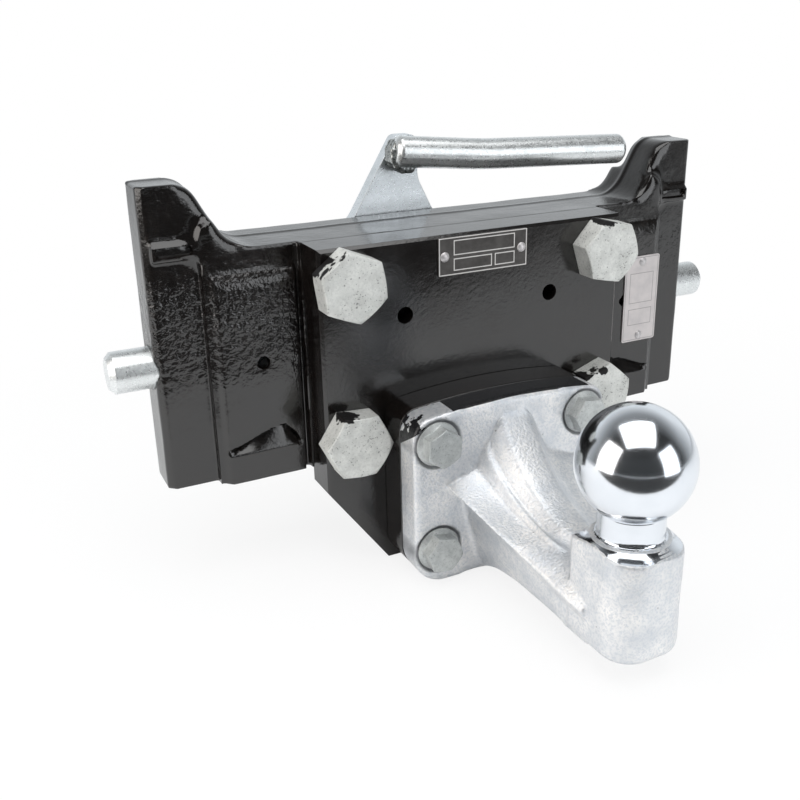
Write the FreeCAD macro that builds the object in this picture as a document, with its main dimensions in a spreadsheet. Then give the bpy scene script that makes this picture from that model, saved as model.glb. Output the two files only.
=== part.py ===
import FreeCAD, Part
import math
import os
import re
import Sketcher

# A slide-in hitch carriage: a forged frame that hangs between a tractor's two ladder rails on
# spring-loaded locking pins, an adapter plate bolted to its front, and a ball carrier with a
# 50 mm coupling ball bolted to that plate. A lever behind the frame draws both pins in.
# The origin is the centre of the ball. +X is to the right for someone who faces the ball,
# +Y runs from the ball towards the tractor, and +Z is up. All sizes are in millimetres.

sizes = {
    # Guide frame, measured from the axis of the locking pins
    "rail_width": 310,
    "guide_thickness": 25,
    "strip_bevel": 3,
    "frame_below": 59.5,
    "saddle_height": 55.5,
    "ear_height": 85.5,
    "ear_width": 23,
    "ear_foot_width": 38.7,
    "ear_round": 11,
    "saddle_round": 19,
    "body_width": 262,
    "body_front": 18,
    "body_back": 21.5,
    "body_shoulder": 66,
    "body_crest": 70,
    "panel_step": 3,
    "panel_width": 41,
    "panel_gap": 2.5,
    "panel_top": 44.5,
    "panel_bevel": 2.9,
    "seat_margin": 1,
    "scoop_top": 34,
    "scoop_height": 10,
    "scoop_depth": 5,
    "scoop_width": 36,
    "scoop_inset": 2,
    "lug_base": 52,
    "lug_height": 9.5,
    "lug_stand": 3,
    "lug_width": 20,
    "lug_inset": 3.5,
    "cavity_length": 118,
    "cavity_height": 24,
    "cavity_floor": 11.5,
    "oil_hole_place": 106.3,
    "oil_hole_size": 6,
    # Locking pins and the pegs that draw them
    "pin_size": 20,
    "pin_body": 20.4,
    "pin_shoulder_stand": 0.3,
    "pin_reach": 20,
    "pin_bevel": 2.5,
    "pin_tail_bevel": 1,
    "pin_tail": 11,
    "pin_clearance": 0.05,
    "peg_size": 12,
    "peg_depth": 6,
    "peg_stand": 2,
    "peg_clearance": 0.2,
    # Release lever, its cam slots and its pivot
    "cam_start": 47,
    "pin_travel": 20.5,
    "lever_turn": 32,
    "lever_gap": 1,
    "lever_thickness": 8,
    "lever_tip_height": 95,
    "lever_tip_width": 17,
    "lever_neck_left": 39,
    "lever_neck_right": 7.5,
    "lever_round": 17,
    "lever_tip_place": 10,
    "lobe_width": 61,
    "lobe_height": 17,
    "slot_wall": 6,
    "pivot_size": 16,
    "pivot_collar": 22,
    "pivot_root": 9,
    "bush_wall": 2,
    "bush_clearance": 0.05,
    "seat_gap": 0.3,
    "washer_size": 30,
    "washer_thickness": 1.5,
    "ring_thickness": 1.2,
    "ring_size": 22,
    "ring_gap": 5,
    "stud_end": 1.5,
    # Handle bar, welded to the front of the lever
    "bar_size": 16,
    "bar_root_height": 88.2,
    "bar_bend_place": 30,
    "bar_bend_forward": 5,
    "bar_bend_drop": 4.3,
    "bar_end_place": 116,
    "bar_end_forward": 12.5,
    "bar_end_drop": 6.5,
    "bar_bend_radius": 350,
    "bar_start_place": 19,
    "bar_bevel": 2.5,
    "weld_gap": 0.3,
    "weld_inset": 4,
    "weld_length": 12,
    "weld_height": 15,
    "weld_leg": 3,
    # Return spring and the two pegs that it hooks on
    "spring_place": 52,
    "spring_top": 11,
    "spring_foot": 50,
    "spring_wire": 2,
    "spring_coil": 10,
    "spring_pitch": 3.6,
    "spring_back": 37,
    "hook_clearance": 0.2,
    "spring_peg_size": 6,
    "spring_peg_head": 8,
    "spring_peg_head_height": 1.5,
    # Adapter plate and its four bolts
    "plate_edge": 13,
    "plate_thickness": 20,
    "plate_skirt": 66.3,
    "flange_lip": 0.4,
    "plate_foot_width": 107,
    "plate_bevel": 1.5,
    "accessory_spacing": 82.6,
    "accessory_height": 19.1,
    "accessory_hole": 8.4,
    "bolt_side_gap": 0.18,
    "bolt_rows": 78,
    "bolt_size": 20,
    "bolt_length": 50,
    "bolt_flats": 30,
    "bolt_head": 13,
    "bolt_hole_gap": 0.5,
    "bolt_hole_spare": 3,
    # Ball carrier, measured from the centre of the ball
    "ball_reach": 165.5,
    "ball_drop": 16.1,
    "ball_size": 50,
    "neck_size": 28.5,
    "flare_radius": 10,
    "flare_foot": 35.4,
    "boss_width": 37.4,
    "boss_front": 21,
    "boss_back": 16,
    "boss_round": 14,
    "boss_top": 32,
    "boss_foot": 83,
    "boss_edge": 4,
    "flange_width": 108,
    "flange_thickness": 16,
    "flange_foot": 93.7,
    "flange_height": 91,
    "flange_crown_radius": 340,
    "flange_foot_round": 16,
    "flange_top_round": 10,
    "flange_edge": 2.5,
    "spacer_thickness": 17.5,
    "flange_bolt_spacing": 83,
    "flange_bolt_rows": 56,
    "flange_bolt_centre": 47.2,
    "flange_bolt_size": 12,
    "flange_bolt_length": 50,
    "flange_bolt_flats": 17,
    "flange_bolt_head": 9,
    "flange_bolt_skirt": 22,
    "flange_bolt_skirt_height": 2,
    "spotface_size": 24.5,
    "spotface_depth": 1.5,
    "spine_half": 5,
    "spine_root": 8,
    "spine_tip": 49,
    "groove_half": 21,
    "groove_root": 34,
    "groove_tip": 54,
    "rib_half": 38,
    "rib_root": 41,
    "rib_tip": 67,
    "keel_half": 18,
    # Plates that are riveted on
    "type_plate_width": 50,
    "type_plate_height": 19,
    "type_plate_place": 1.5,
    "type_plate_top": 1,
    "rating_plate_width": 23.5,
    "rating_plate_height": 50,
    "rating_plate_place": 117.5,
    "plate_sheet": 0.8,
    "rivet_size": 5,
    "rivet_stand": 1.2,
    "rivet_shank": 2.4,
    "rivet_depth": 4,
    "rivet_inset": 3.4,
    "plate_corner": 1.2,
}

# Places that follow from the sizes
terms = {
    "rail_half": "rail_width / 2",
    "guide_half": "guide_thickness / 2",
    "ear_inner": "rail_half - ear_width",
    "ear_foot": "rail_half - ear_foot_width",
    "body_half": "body_width / 2",
    "bolt_spacing": "flange_width + 2 * (bolt_flats / sqrt(3) + bolt_side_gap)",
    "plate_width": "bolt_spacing + 2 * plate_edge",
    "seat_half": "plate_width / 2 + seat_margin",
    "panel_inner": "seat_half + panel_gap",
    "ear_slope": "(ear_foot_width - ear_width) / (ear_height - saddle_height)",
    "seat_front": "body_front + panel_step",
    "panel_outer": "panel_inner + panel_width",
    "pin_half": "pin_size / 2",
    "bore_half": "pin_body / 2 + pin_clearance",
    "pin_inner": "cam_start - pin_tail",
    "lever_front": "body_back + lever_gap",
    "lever_back": "lever_front + lever_thickness",
    "lobe_foot": "(cam_start - pin_travel) * sin(lever_turn) + peg_half + peg_clearance + slot_wall",
    "peg_half": "peg_size / 2",
    "bush_half": "pivot_size / 2 + bush_clearance + bush_wall",
    "bush_bore_half": "pivot_size / 2 + bush_clearance",
    "washer_front": "lever_back + seat_gap",
    "ring_front": "washer_front + washer_thickness + seat_gap",
    "stud_back": "ring_front + ring_thickness + stud_end",
    "bar_half": "bar_size / 2",
    "bar_root_back": "lever_front - weld_gap - bar_half",
    "hook_half": "spring_peg_size / 2 + hook_clearance + spring_wire / 2",
    "spring_peg_back": "spring_back + spring_wire / 2 + seat_gap",
    "plate_half": "plate_width / 2",
    "bolt_place": "bolt_spacing / 2",
    "plate_foot_half": "plate_foot_width / 2",
    "plate_front": "seat_front + plate_thickness",
    "spacer_front": "plate_front + spacer_thickness",
    "flange_front": "spacer_front + flange_thickness",
    "plate_foot": "flange_foot + ball_drop - flange_lip",
    "flange_half": "flange_width / 2",
    "flange_crown": "flange_height - flange_foot",
    "crown_sag": "flange_crown_radius - sqrt(flange_crown_radius ^ 2 - flange_half ^ 2)",
    "arm_root": "ball_reach - flange_front",
    "ball_half": "ball_size / 2",
    "neck_half": "neck_size / 2",
    "neck_join": "sqrt(ball_half ^ 2 - neck_half ^ 2)",
}

doc = FreeCAD.newDocument("tow_ball_hitch")
sheet = doc.addObject("Spreadsheet::Sheet", "Sizes")
for row, (alias, size) in enumerate(sizes.items(), start=1):
    sheet.set(f"A{row}", alias)
    sheet.set(f"B{row}", str(size))
    sheet.setAlias(f"B{row}", alias)
doc.recompute()


def bound(text):
    # A formula in plain words becomes one that refers to the cells of the sheet.
    def refer(found):
        word = found.group()
        if word in terms:
            return "(" + bound(terms[word]) + ")"
        return "Sizes." + word if word in sizes else word
    return re.sub(r"[a-z]+(?:_[a-z]+)*", refer, text)


def number(text):
    return float(sheet.evalExpression(bound(text)))


def tie(thing, field, text):
    thing.setExpression(field, bound(text))


def new_body(name, on_carriage=True):
    # The pieces on the frame are drawn from the middle of the locking pins' axis.
    body = doc.addObject("PartDesign::Body", name)
    body.Label = name
    if on_carriage:
        place_on_carriage(body)
    return body


def place_on_carriage(piece, x="0", y="0", z="0"):
    tie(piece, ".Placement.Base.x", x)
    tie(piece, ".Placement.Base.y", f"ball_reach + ({y})")
    tie(piece, ".Placement.Base.z", f"ball_drop + ({z})")


def sketch_on(body, name, role, offset):
    # The offset is along the plane's normal: -Y for the XZ plane, +X for YZ and +Z for XY.
    sketch = body.newObject("Sketcher::SketchObject", name)
    plane = next(item for item in body.Origin.OriginFeatures if item.Role == role)
    sketch.AttachmentSupport = (plane, "")
    sketch.MapMode = "FlatFace"
    tie(sketch, ".AttachmentOffset.Base.z", offset)
    return sketch


def front_sketch(body, name, y):
    return sketch_on(body, name, "XZ_Plane", f"-({y})")


def fix_distance(sketch, kind, geometry, point, text):
    index = sketch.addConstraint(Sketcher.Constraint(kind, -1, 1, geometry, point, number(text)))
    tie(sketch, f"Constraints[{index}]", text)


def fix_point(sketch, geometry, point, x, y):
    fix_distance(sketch, "DistanceX", geometry, point, x)
    fix_distance(sketch, "DistanceY", geometry, point, y)


def outline(sketch, corners, arcs=None):
    # A closed loop through the corners. An arc replaces the side that starts at its corner:
    # it has a centre and the way it turns.
    arcs = arcs or {}
    first = sketch.GeometryCount
    places = [(number(x), number(y)) for x, y in corners]
    ends = []
    for index, start in enumerate(places):
        stop = places[(index + 1) % len(places)]
        if index in arcs:
            centre, turn = arcs[index]
            middle = FreeCAD.Vector(number(centre[0]), number(centre[1]), 0)
            radius = math.dist(start, (middle.x, middle.y))
            angles = [math.atan2(y - middle.y, x - middle.x) for x, y in (start, stop)]
            if turn == "right":
                angles.reverse()
            full = Part.Circle(middle, FreeCAD.Vector(0, 0, 1), radius)
            sketch.addGeometry(Part.ArcOfCircle(full, angles[0], angles[1]), False)
            ends.append((1, 2) if turn == "left" else (2, 1))
        else:
            line = Part.LineSegment(FreeCAD.Vector(*start, 0), FreeCAD.Vector(*stop, 0))
            sketch.addGeometry(line, False)
            ends.append((1, 2))
    for index, corner in enumerate(corners):
        after = (index + 1) % len(corners)
        sketch.addConstraint(Sketcher.Constraint("Coincident", first + index, ends[index][1],
                                                 first + after, ends[after][0]))
    for index, (x, y) in enumerate(corners):
        fix_point(sketch, first + index, ends[index][0], x, y)
    for index, (centre, turn) in arcs.items():
        # The ends leave the centre free along one direction only
        start, stop = places[index], places[(index + 1) % len(places)]
        upright = abs(stop[1] - start[1]) > abs(stop[0] - start[0])
        kind, text = ("DistanceX", centre[0]) if upright else ("DistanceY", centre[1])
        fix_distance(sketch, kind, first + index, 3, text)


def circle(sketch, x, y, radius):
    middle = FreeCAD.Vector(number(x), number(y), 0)
    index = sketch.addGeometry(Part.Circle(middle, FreeCAD.Vector(0, 0, 1), number(radius)), False)
    fix_point(sketch, index, 3, x, y)
    place = sketch.addConstraint(Sketcher.Constraint("Radius", index, number(radius)))
    tie(sketch, f"Constraints[{place}]", radius)


def mirrored(half):
    # Completes an outline that is given for +X only, from its first corner to its last.
    return half + [(f"-({x})", y) for x, y in reversed(half)]


def rectangle(left, low, right, high):
    return [(left, low), (right, low), (right, high), (left, high)]


def pad(body, sketch, length, taper=None):
    feature = body.newObject("PartDesign::Pad", sketch.Name + "_pad")
    feature.Profile = sketch
    tie(feature, "Length", length)
    if taper:
        tie(feature, "TaperAngle", taper)
    sketch.Visibility = False
    return feature


def pocket(body, sketch, depth):
    feature = body.newObject("PartDesign::Pocket", sketch.Name + "_pocket")
    feature.Profile = sketch
    tie(feature, "Length", depth)
    return feature


def turned(body, sketch, axis, kind="PartDesign::Revolution"):
    feature = body.newObject(kind, sketch.Name + "_turned")
    feature.Profile = sketch
    feature.ReferenceAxis = (sketch, [axis])
    feature.Angle = 360
    return feature


def edges_along(shape, axis, places):
    # Straight edges that run along one axis through the given places on the other two.
    across = [item for item in "xyz" if item != axis]
    names = []
    for count, edge in enumerate(shape.Edges, start=1):
        ends = [vertex.Point for vertex in edge.Vertexes]
        if len(ends) != 2 or edge.Curve.TypeId != "Part::GeomLine":
            continue
        for place in places:
            gaps = [abs(getattr(end, name) - value) for end in ends for name, value in zip(across, place)]
            if max(gaps) < 0.01:
                names.append(f"Edge{count}")
    return names


def soften(body, kind, axis, places, size):
    # A fillet or chamfer on the edges that edges_along finds.
    doc.recompute()
    base = body.Tip
    feature = body.newObject(f"PartDesign::{kind}", f"{base.Name}_{kind.lower()}")
    spots = [(number(a), number(b)) for a, b in places]
    feature.Base = (base, edges_along(base.Shape, axis, spots))
    tie(feature, "Radius" if kind == "Fillet" else "Size", size)
    return feature


def both_sides(x, z):
    return [(x, z), (f"-({x})", z)]


def make_guide_frame():
    body = new_body("guide_frame")
    # Guide strips with their ears, as deep as the slot in the rails
    profile = front_sketch(body, "guide_outline", "guide_half")
    outline(profile, mirrored([("rail_half", "-frame_below"), ("rail_half", "ear_height"),
                               ("ear_inner", "ear_height"), ("ear_foot", "saddle_height")]))
    pad(body, profile, "guide_thickness")
    # Thicker body between the strips, whose sides run up into the ears' slopes
    block = front_sketch(body, "body_outline", "body_back")
    outline(block, mirrored([("body_half", "-frame_below"), ("body_half", "body_shoulder"),
                             ("ear_foot + (body_crest - saddle_height) * ear_slope", "body_crest"),
                             ("ear_foot", "saddle_height")]))
    pad(body, block, "body_back + body_front")
    soften(body, "Fillet", "y", both_sides("ear_inner", "ear_height"), "ear_round")
    soften(body, "Fillet", "y", both_sides("ear_foot", "saddle_height"), "saddle_round")
    soften(body, "Chamfer", "z", [("rail_half", "guide_half"), ("rail_half", "-guide_half"),
                                  ("-rail_half", "guide_half"), ("-rail_half", "-guide_half")],
           "strip_bevel")
    # Machined seat for the adapter plate, and the raised panels beside it
    seat = front_sketch(body, "seat_outline", "-body_front")
    outline(seat, rectangle("-seat_half", "-frame_below", "seat_half", "saddle_height"))
    for side in ("", "-"):
        inner = f"{side}panel_inner"
        outer = f"{side}panel_outer"
        left, right = (inner, outer) if side == "" else (outer, inner)
        outline(seat, rectangle(left, "-frame_below", right, "panel_top"))
    pad(body, seat, "panel_step")
    soften(body, "Chamfer", "x", [("-seat_front", "panel_top")], "panel_bevel")
    soften(body, "Chamfer", "z", [("panel_outer", "-seat_front"), ("-panel_outer", "-seat_front")],
           "panel_bevel")
    # Scoops across the foot of each panel
    for side in ("", "-"):
        start = "panel_outer - scoop_inset - scoop_width" if side == "" else "-panel_outer + scoop_inset"
        scoop = sketch_on(body, f"scoop_{'right' if side == '' else 'left'}", "YZ_Plane", start)
        outline(scoop, [("-seat_front - 1", "-scoop_top"),
                        ("-seat_front + scoop_depth / 3", "-scoop_top - scoop_height / 3"),
                        ("-seat_front + scoop_depth", "-scoop_top - scoop_height * 0.8"),
                        ("-seat_front - 1", "-scoop_top - scoop_height")])
        cut = pocket(body, scoop, "scoop_width")
        cut.Reversed = True
    # Stop lug across the front of each ear
    for side in ("", "-"):
        name = "right" if side == "" else "left"
        lug = front_sketch(body, f"lug_{name}", "-guide_half")
        near = f"{side}(rail_half - lug_inset - lug_width)"
        far = f"{side}(rail_half - lug_inset)"
        left, right = (near, far) if side == "" else (far, near)
        outline(lug, rectangle(left, "lug_base", right, "lug_base + lug_height"))
        pad(body, lug, "lug_stand")
    soften(body, "Chamfer", "x", [("-guide_half - lug_stand", "lug_base + lug_height")],
           "lug_stand - 0.1")
    # Bores for the locking pins, and the cavity where the pegs travel
    bore = sketch_on(body, "pin_bore", "YZ_Plane", "rail_half + 1")
    circle(bore, "0", "0", "bore_half")
    pocket(body, bore, "rail_width + 2")
    cavity = front_sketch(body, "peg_cavity", "body_back")
    half_length = "cavity_length / 2 - cavity_height / 2"
    half_height = "cavity_height / 2"
    outline(cavity, [(half_length, f"-({half_height})"), (half_length, half_height),
                     (f"-({half_length})", half_height), (f"-({half_length})", f"-({half_height})")],
            {0: ((half_length, "0"), "left"), 2: ((f"-({half_length})", "0"), "left")})
    opened = pocket(body, cavity, "body_back + cavity_floor")
    opened.Reversed = True
    # Threaded holes for the adapter bolts, the pivot stud and the spring peg, and oil holes
    holes = front_sketch(body, "front_holes", "-seat_front")
    for x in ("-bolt_place", "bolt_place"):
        for z in ("-bolt_rows / 2", "bolt_rows / 2"):
            circle(holes, x, z, "bolt_size / 2")
    pocket(body, holes, "bolt_length - plate_thickness + bolt_hole_spare")
    oil = front_sketch(body, "oil_holes", "-seat_front")
    for x in ("-oil_hole_place", "oil_hole_place"):
        circle(oil, x, "0", "oil_hole_size / 2")
    pocket(body, oil, "seat_front - pin_half / 2")
    pivot = front_sketch(body, "pivot_hole", "-cavity_floor")
    circle(pivot, "0", "0", "pivot_size / 2")
    deep = pocket(body, pivot, "pivot_root")
    deep.Reversed = True
    anchor = front_sketch(body, "anchor_hole", "body_back")
    circle(anchor, "spring_place", "-spring_foot", "spring_peg_size / 2")
    drilled = pocket(body, anchor, "spring_peg_size * 2")
    drilled.Reversed = True
    # Blind holes for the rating plate's rivets
    rivets = front_sketch(body, "rating_rivet_holes", "-seat_front")
    for z in rating_rivet_heights:
        circle(rivets, "rating_plate_place", z, "rivet_shank / 2")
    pocket(body, rivets, "rivet_depth")
    return body


rating_rivet_heights = ("rating_plate_height / 2 - rivet_inset", "-rating_plate_height / 2 + rivet_inset")
type_rivet_places = ("type_plate_place - type_plate_width / 2 + rivet_inset",
                     "type_plate_place + type_plate_width / 2 - rivet_inset")
type_plate_middle = "saddle_height - type_plate_top - type_plate_height / 2"


def make_locking_pin(side):
    # The pin is turned about X: its nose stands out of the guide strip and its tail holds the peg.
    name = "right" if side > 0 else "left"
    way = "" if side > 0 else "-"
    body = new_body(f"{name}_locking_pin")
    profile = sketch_on(body, f"{name}_pin_profile", "XZ_Plane", "0")
    nose = "rail_half + pin_reach"
    shoulder = "rail_half + pin_shoulder_stand"
    outline(profile, [(f"{way}(pin_inner)", "0"), (f"{way}({nose})", "0"),
                      (f"{way}({nose})", "pin_half - pin_bevel"),
                      (f"{way}({nose} - pin_bevel)", "pin_half"),
                      (f"{way}({shoulder})", "pin_half"), (f"{way}({shoulder})", "pin_body / 2"),
                      (f"{way}(pin_inner + pin_tail_bevel)", "pin_body / 2"),
                      (f"{way}(pin_inner)", "pin_body / 2 - pin_tail_bevel")])
    turned(body, profile, "H_Axis")
    seat = front_sketch(body, f"{name}_peg_seat", "-peg_depth")
    circle(seat, f"{way}cam_start", "0", "peg_half")
    pocket(body, seat, "peg_depth + pin_size")
    return body


def make_follower_peg(side):
    name = "right" if side > 0 else "left"
    way = "" if side > 0 else "-"
    body = new_body(f"{name}_follower_peg")
    foot = front_sketch(body, f"{name}_peg_outline", "lever_back + peg_stand")
    circle(foot, f"{way}cam_start", "0", "peg_half")
    pad(body, foot, "lever_back + peg_stand + peg_depth")
    return body


def cam_slots():
    # Each slot draws its peg in by the same amount for each degree of the lever, so its middle
    # line is a spiral. The two slots are half a turn apart.
    start = number("cam_start")
    travel = number("pin_travel")
    turn = math.radians(number("lever_turn"))
    half = number("peg_half + peg_clearance")
    front = number("lever_front") - 1
    depth = number("lever_thickness") + 2
    steps = 8
    slots = []
    for base in (math.pi, 0.0):
        rows = []
        for index in range(steps + 1):
            share = index / steps
            angle = base - turn * share
            radius = start - travel * share
            middle = FreeCAD.Vector(radius * math.cos(angle), front, radius * math.sin(angle))
            # Direction of travel along the spiral
            along = FreeCAD.Vector(-travel * math.cos(angle) + turn * radius * math.sin(angle), 0,
                                   -travel * math.sin(angle) - turn * radius * math.cos(angle))
            along.normalize()
            aside = FreeCAD.Vector(-along.z, 0, along.x)
            rows.append((middle, along, aside))
        walls = []
        for way in (1, -1):
            curve = Part.BSplineCurve()
            curve.interpolate([middle + aside * half * way for middle, along, aside in rows])
            walls.append(curve.toShape())
        caps = []
        for row, way in ((rows[0], -1), (rows[-1], 1)):
            middle, along, aside = row
            arc = Part.Arc(middle + aside * half, middle + along * half * way, middle - aside * half)
            caps.append(arc.toShape())
        wire = Part.Wire(Part.__sortEdges__(walls + caps))
        slots.append(Part.Face(wire).extrude(FreeCAD.Vector(0, depth, 0)))
    return Part.makeCompound(slots)


def make_lever_plate():
    # The outline is measured from the photograph above the frame, and hides its lobes below.
    body = new_body("lever_blank", on_carriage=False)
    profile = front_sketch(body, "lever_outline", "lever_back")
    neck = "saddle_height - lever_gap"
    outline(profile, [("lobe_width", "-lobe_foot"), ("lobe_width", "lobe_height"),
                      ("lobe_width * 0.55", "lobe_height + lever_round * 0.7"), ("lever_neck_right", neck),
                      ("-lever_tip_place + lever_tip_width / 2", "saddle_height + lever_round"),
                      ("-lever_tip_place + lever_tip_width / 2", "lever_tip_height"),
                      ("-lever_tip_place - lever_tip_width / 4", "lever_tip_height"),
                      ("-lever_neck_left", neck), ("-lobe_width", "lobe_height * 2"),
                      ("-lobe_width", "-lobe_foot")])
    pad(body, profile, "lever_thickness")
    soften(body, "Fillet", "y", both_sides("lobe_width", "-lobe_foot"), "lever_round - lever_gap * 3")
    soften(body, "Fillet", "y", [("lobe_width", "lobe_height"), ("-lobe_width", "lobe_height * 2")],
           "lever_round - lever_gap * 5")
    soften(body, "Fillet", "y", [("lever_neck_right", neck), ("-lever_neck_left", neck),
                                 ("-lever_tip_place + lever_tip_width / 2", "saddle_height + lever_round")],
           "lever_round")
    soften(body, "Fillet", "y", [("-lever_tip_place + lever_tip_width / 2", "lever_tip_height"),
                                 ("-lever_tip_place - lever_tip_width / 4", "lever_tip_height")],
           "lever_tip_width / 4")
    hub = front_sketch(body, "lever_holes", "lever_front")
    circle(hub, "0", "0", "bush_half")
    circle(hub, "spring_place", "-spring_top", "spring_peg_size / 2")
    pocket(body, hub, "lever_thickness")
    slots = doc.addObject("Part::Feature", "cam_slots")
    slots.Shape = cam_slots()
    plate = doc.addObject("Part::Cut", "lever_plate")
    plate.Base = body
    plate.Tool = slots
    place_on_carriage(plate)
    return plate


def bar_path():
    # Two straight runs joined by one wide bend, on the bar's middle line
    root = FreeCAD.Vector(-number("bar_start_place"), number("bar_root_back"), number("bar_root_height"))
    bend = FreeCAD.Vector(number("bar_bend_place"), root.y - number("bar_bend_forward"),
                          root.z - number("bar_bend_drop"))
    tail = FreeCAD.Vector(number("bar_end_place"), root.y - number("bar_end_forward"),
                          root.z - number("bar_end_drop"))
    return root, bend, tail


def make_handle_bar():
    root, bend, tail = bar_path()
    first = (bend - root).normalize()
    second = (tail - bend).normalize()
    angle = first.getAngle(second)
    cut = number("bar_bend_radius") * math.tan(angle / 2)
    start = bend - first * cut
    stop = bend + second * cut
    inward = (second - first).normalize()
    rise = number("bar_bend_radius") * (1 / math.cos(angle / 2) - 1)
    arc = Part.Arc(start, bend + inward * rise, stop).toShape()
    path = Part.Wire([Part.LineSegment(root, start).toShape(), arc, Part.LineSegment(stop, tail).toShape()])
    ring = Part.Wire(Part.makeCircle(number("bar_half"), root, first))
    rod = path.makePipeShell([ring], True, False)
    ends = [edge for edge in rod.Edges if edge.Curve.TypeId == "Part::GeomCircle" and edge.Closed
            and min(edge.Curve.Center.distanceToPoint(root), edge.Curve.Center.distanceToPoint(tail)) < 0.01]
    bar = doc.addObject("Part::Feature", "handle_bar")
    bar.Label = "handle_bar"
    bar.Shape = rod.makeChamfer(number("bar_bevel"), ends)
    place_on_carriage(bar)
    return bar


def make_handle_weld():
    # Beads that fill the corners between the bar's round back and the lever's flat front
    body = new_body("weld_bead", on_carriage=False)
    section = sketch_on(body, "weld_section", "YZ_Plane", "-bar_start_place + weld_inset")
    outline(section, [("lever_front", "bar_root_height - weld_height / 2"),
                      ("lever_front", "bar_root_height + weld_height / 2"),
                      ("lever_front - weld_leg", "bar_root_height + weld_height / 2 - weld_leg / 2"),
                      ("bar_root_back", "bar_root_height + bar_half - weld_leg / 3"),
                      ("bar_root_back", "bar_root_height - bar_half + weld_leg / 3"),
                      ("lever_front - weld_leg", "bar_root_height - weld_height / 2 + weld_leg / 2")])
    pad(body, section, "weld_length")
    root, bend, tail = bar_path()
    core = doc.addObject("Part::Feature", "bar_core")
    core.Shape = Part.makeCylinder(number("bar_half"), number("weld_length * 2"), root, bend - root)
    weld = doc.addObject("Part::Cut", "handle_weld")
    weld.Base = body
    weld.Tool = core
    place_on_carriage(weld)
    return weld


def ring(name, y, thickness, inner, outer):
    body = new_body(name)
    profile = front_sketch(body, f"{name}_outline", f"{y} + {thickness}")
    circle(profile, "0", "0", outer)
    circle(profile, "0", "0", inner)
    pad(body, profile, thickness)
    return body


def make_pivot_stud():
    # Turned about Y: a threaded root, a collar, the lever's journal and a groove for the ring
    body = new_body("pivot_stud")
    profile = sketch_on(body, "stud_profile", "YZ_Plane", "0")
    journal = "pivot_size / 2"
    collar = "pivot_collar / 2"
    neck = "pivot_size / 2 - 1"
    outline(profile, [("-cavity_floor - pivot_root", "0"), ("stud_back", "0"),
                      ("stud_back", neck), ("stud_back - 1", journal),
                      ("ring_front + ring_thickness", journal), ("ring_front + ring_thickness", neck),
                      ("ring_front", neck), ("ring_front", journal),
                      ("lever_front - seat_gap", journal), ("lever_front - seat_gap", collar),
                      ("-cavity_floor", collar), ("-cavity_floor", journal),
                      ("-cavity_floor - pivot_root + 1", journal), ("-cavity_floor - pivot_root", neck)])
    turned(body, profile, "H_Axis")
    return body


def make_retaining_ring():
    # An open ring that snaps into the stud's groove
    body = new_body("pivot_retaining_ring")
    profile = front_sketch(body, "retaining_ring_outline", "ring_front + ring_thickness")
    circle(profile, "0", "0", "ring_size / 2")
    circle(profile, "0", "0", "pivot_size / 2 - 1")
    pad(body, profile, "ring_thickness")
    gap = front_sketch(body, "retaining_ring_gap", "ring_front")
    outline(gap, rectangle("-ring_gap / 2", "-ring_size", "ring_gap / 2", "0"))
    pocket(body, gap, "ring_thickness")
    return body


def make_spring_peg(name, z, start):
    # A plain peg with a head that keeps the spring's hook on it
    body = new_body(name)
    shank = front_sketch(body, f"{name}_shank", "spring_peg_back")
    circle(shank, "spring_place", z, "spring_peg_size / 2")
    pad(body, shank, f"spring_peg_back - ({start})")
    head = front_sketch(body, f"{name}_head", "spring_peg_back + spring_peg_head_height")
    circle(head, "spring_place", z, "spring_peg_head / 2")
    pad(body, head, "spring_peg_head_height")
    return body


def wire_section(middle, radius):
    # The spring's wire has eight flats, which keeps the coil light
    corners = []
    for index in range(9):
        angle = math.radians(45 * index + 22.5)
        corners.append(middle + FreeCAD.Vector(math.cos(angle), 0, math.sin(angle)) * radius)
    return Part.makePolygon(corners)


def make_return_spring():
    # A tension spring: a helix, with a ring at each end that goes round a peg
    wire = number("spring_wire / 2")
    coil = number("(spring_coil - spring_wire) / 2")
    hook = number("hook_half")
    stem = number("spring_wire")
    middle = FreeCAD.Vector(number("spring_place"), number("spring_back"), 0)
    top = -number("spring_top") - hook - stem
    foot = -number("spring_foot") + hook + stem
    turns = max(2, round((top - foot) / number("spring_pitch")))
    upright = FreeCAD.Vector(0, 0, 1)
    helix = Part.makeHelix((top - foot) / turns, top - foot, coil)
    section = wire_section(FreeCAD.Vector(coil, 0, 0), wire)
    spring = Part.Wire(helix.Edges).makePipeShell([section], True, True)
    spring.translate(middle + upright * foot)
    for level, way in ((foot, -1), (top, 1)):
        end = middle + upright * level
        peg = end + upright * (hook + stem) * way
        leg = Part.makeCylinder(wire * 0.9, coil, end, FreeCAD.Vector(1, 0, 0))
        neck = Part.makeCylinder(wire * 0.9, stem + wire / 2, end - upright * wire / 2 * way, upright * way)
        loop = Part.Face(wire_section(FreeCAD.Vector(hook, 0, 0), wire))
        loop = loop.revolve(FreeCAD.Vector(), upright, 360)
        loop.rotate(FreeCAD.Vector(), FreeCAD.Vector(1, 0, 0), 90)
        loop.translate(peg)
        spring = spring.fuse([leg, neck, loop])
    feature = doc.addObject("Part::Feature", "return_spring")
    feature.Shape = spring
    place_on_carriage(feature)
    return feature


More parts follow.
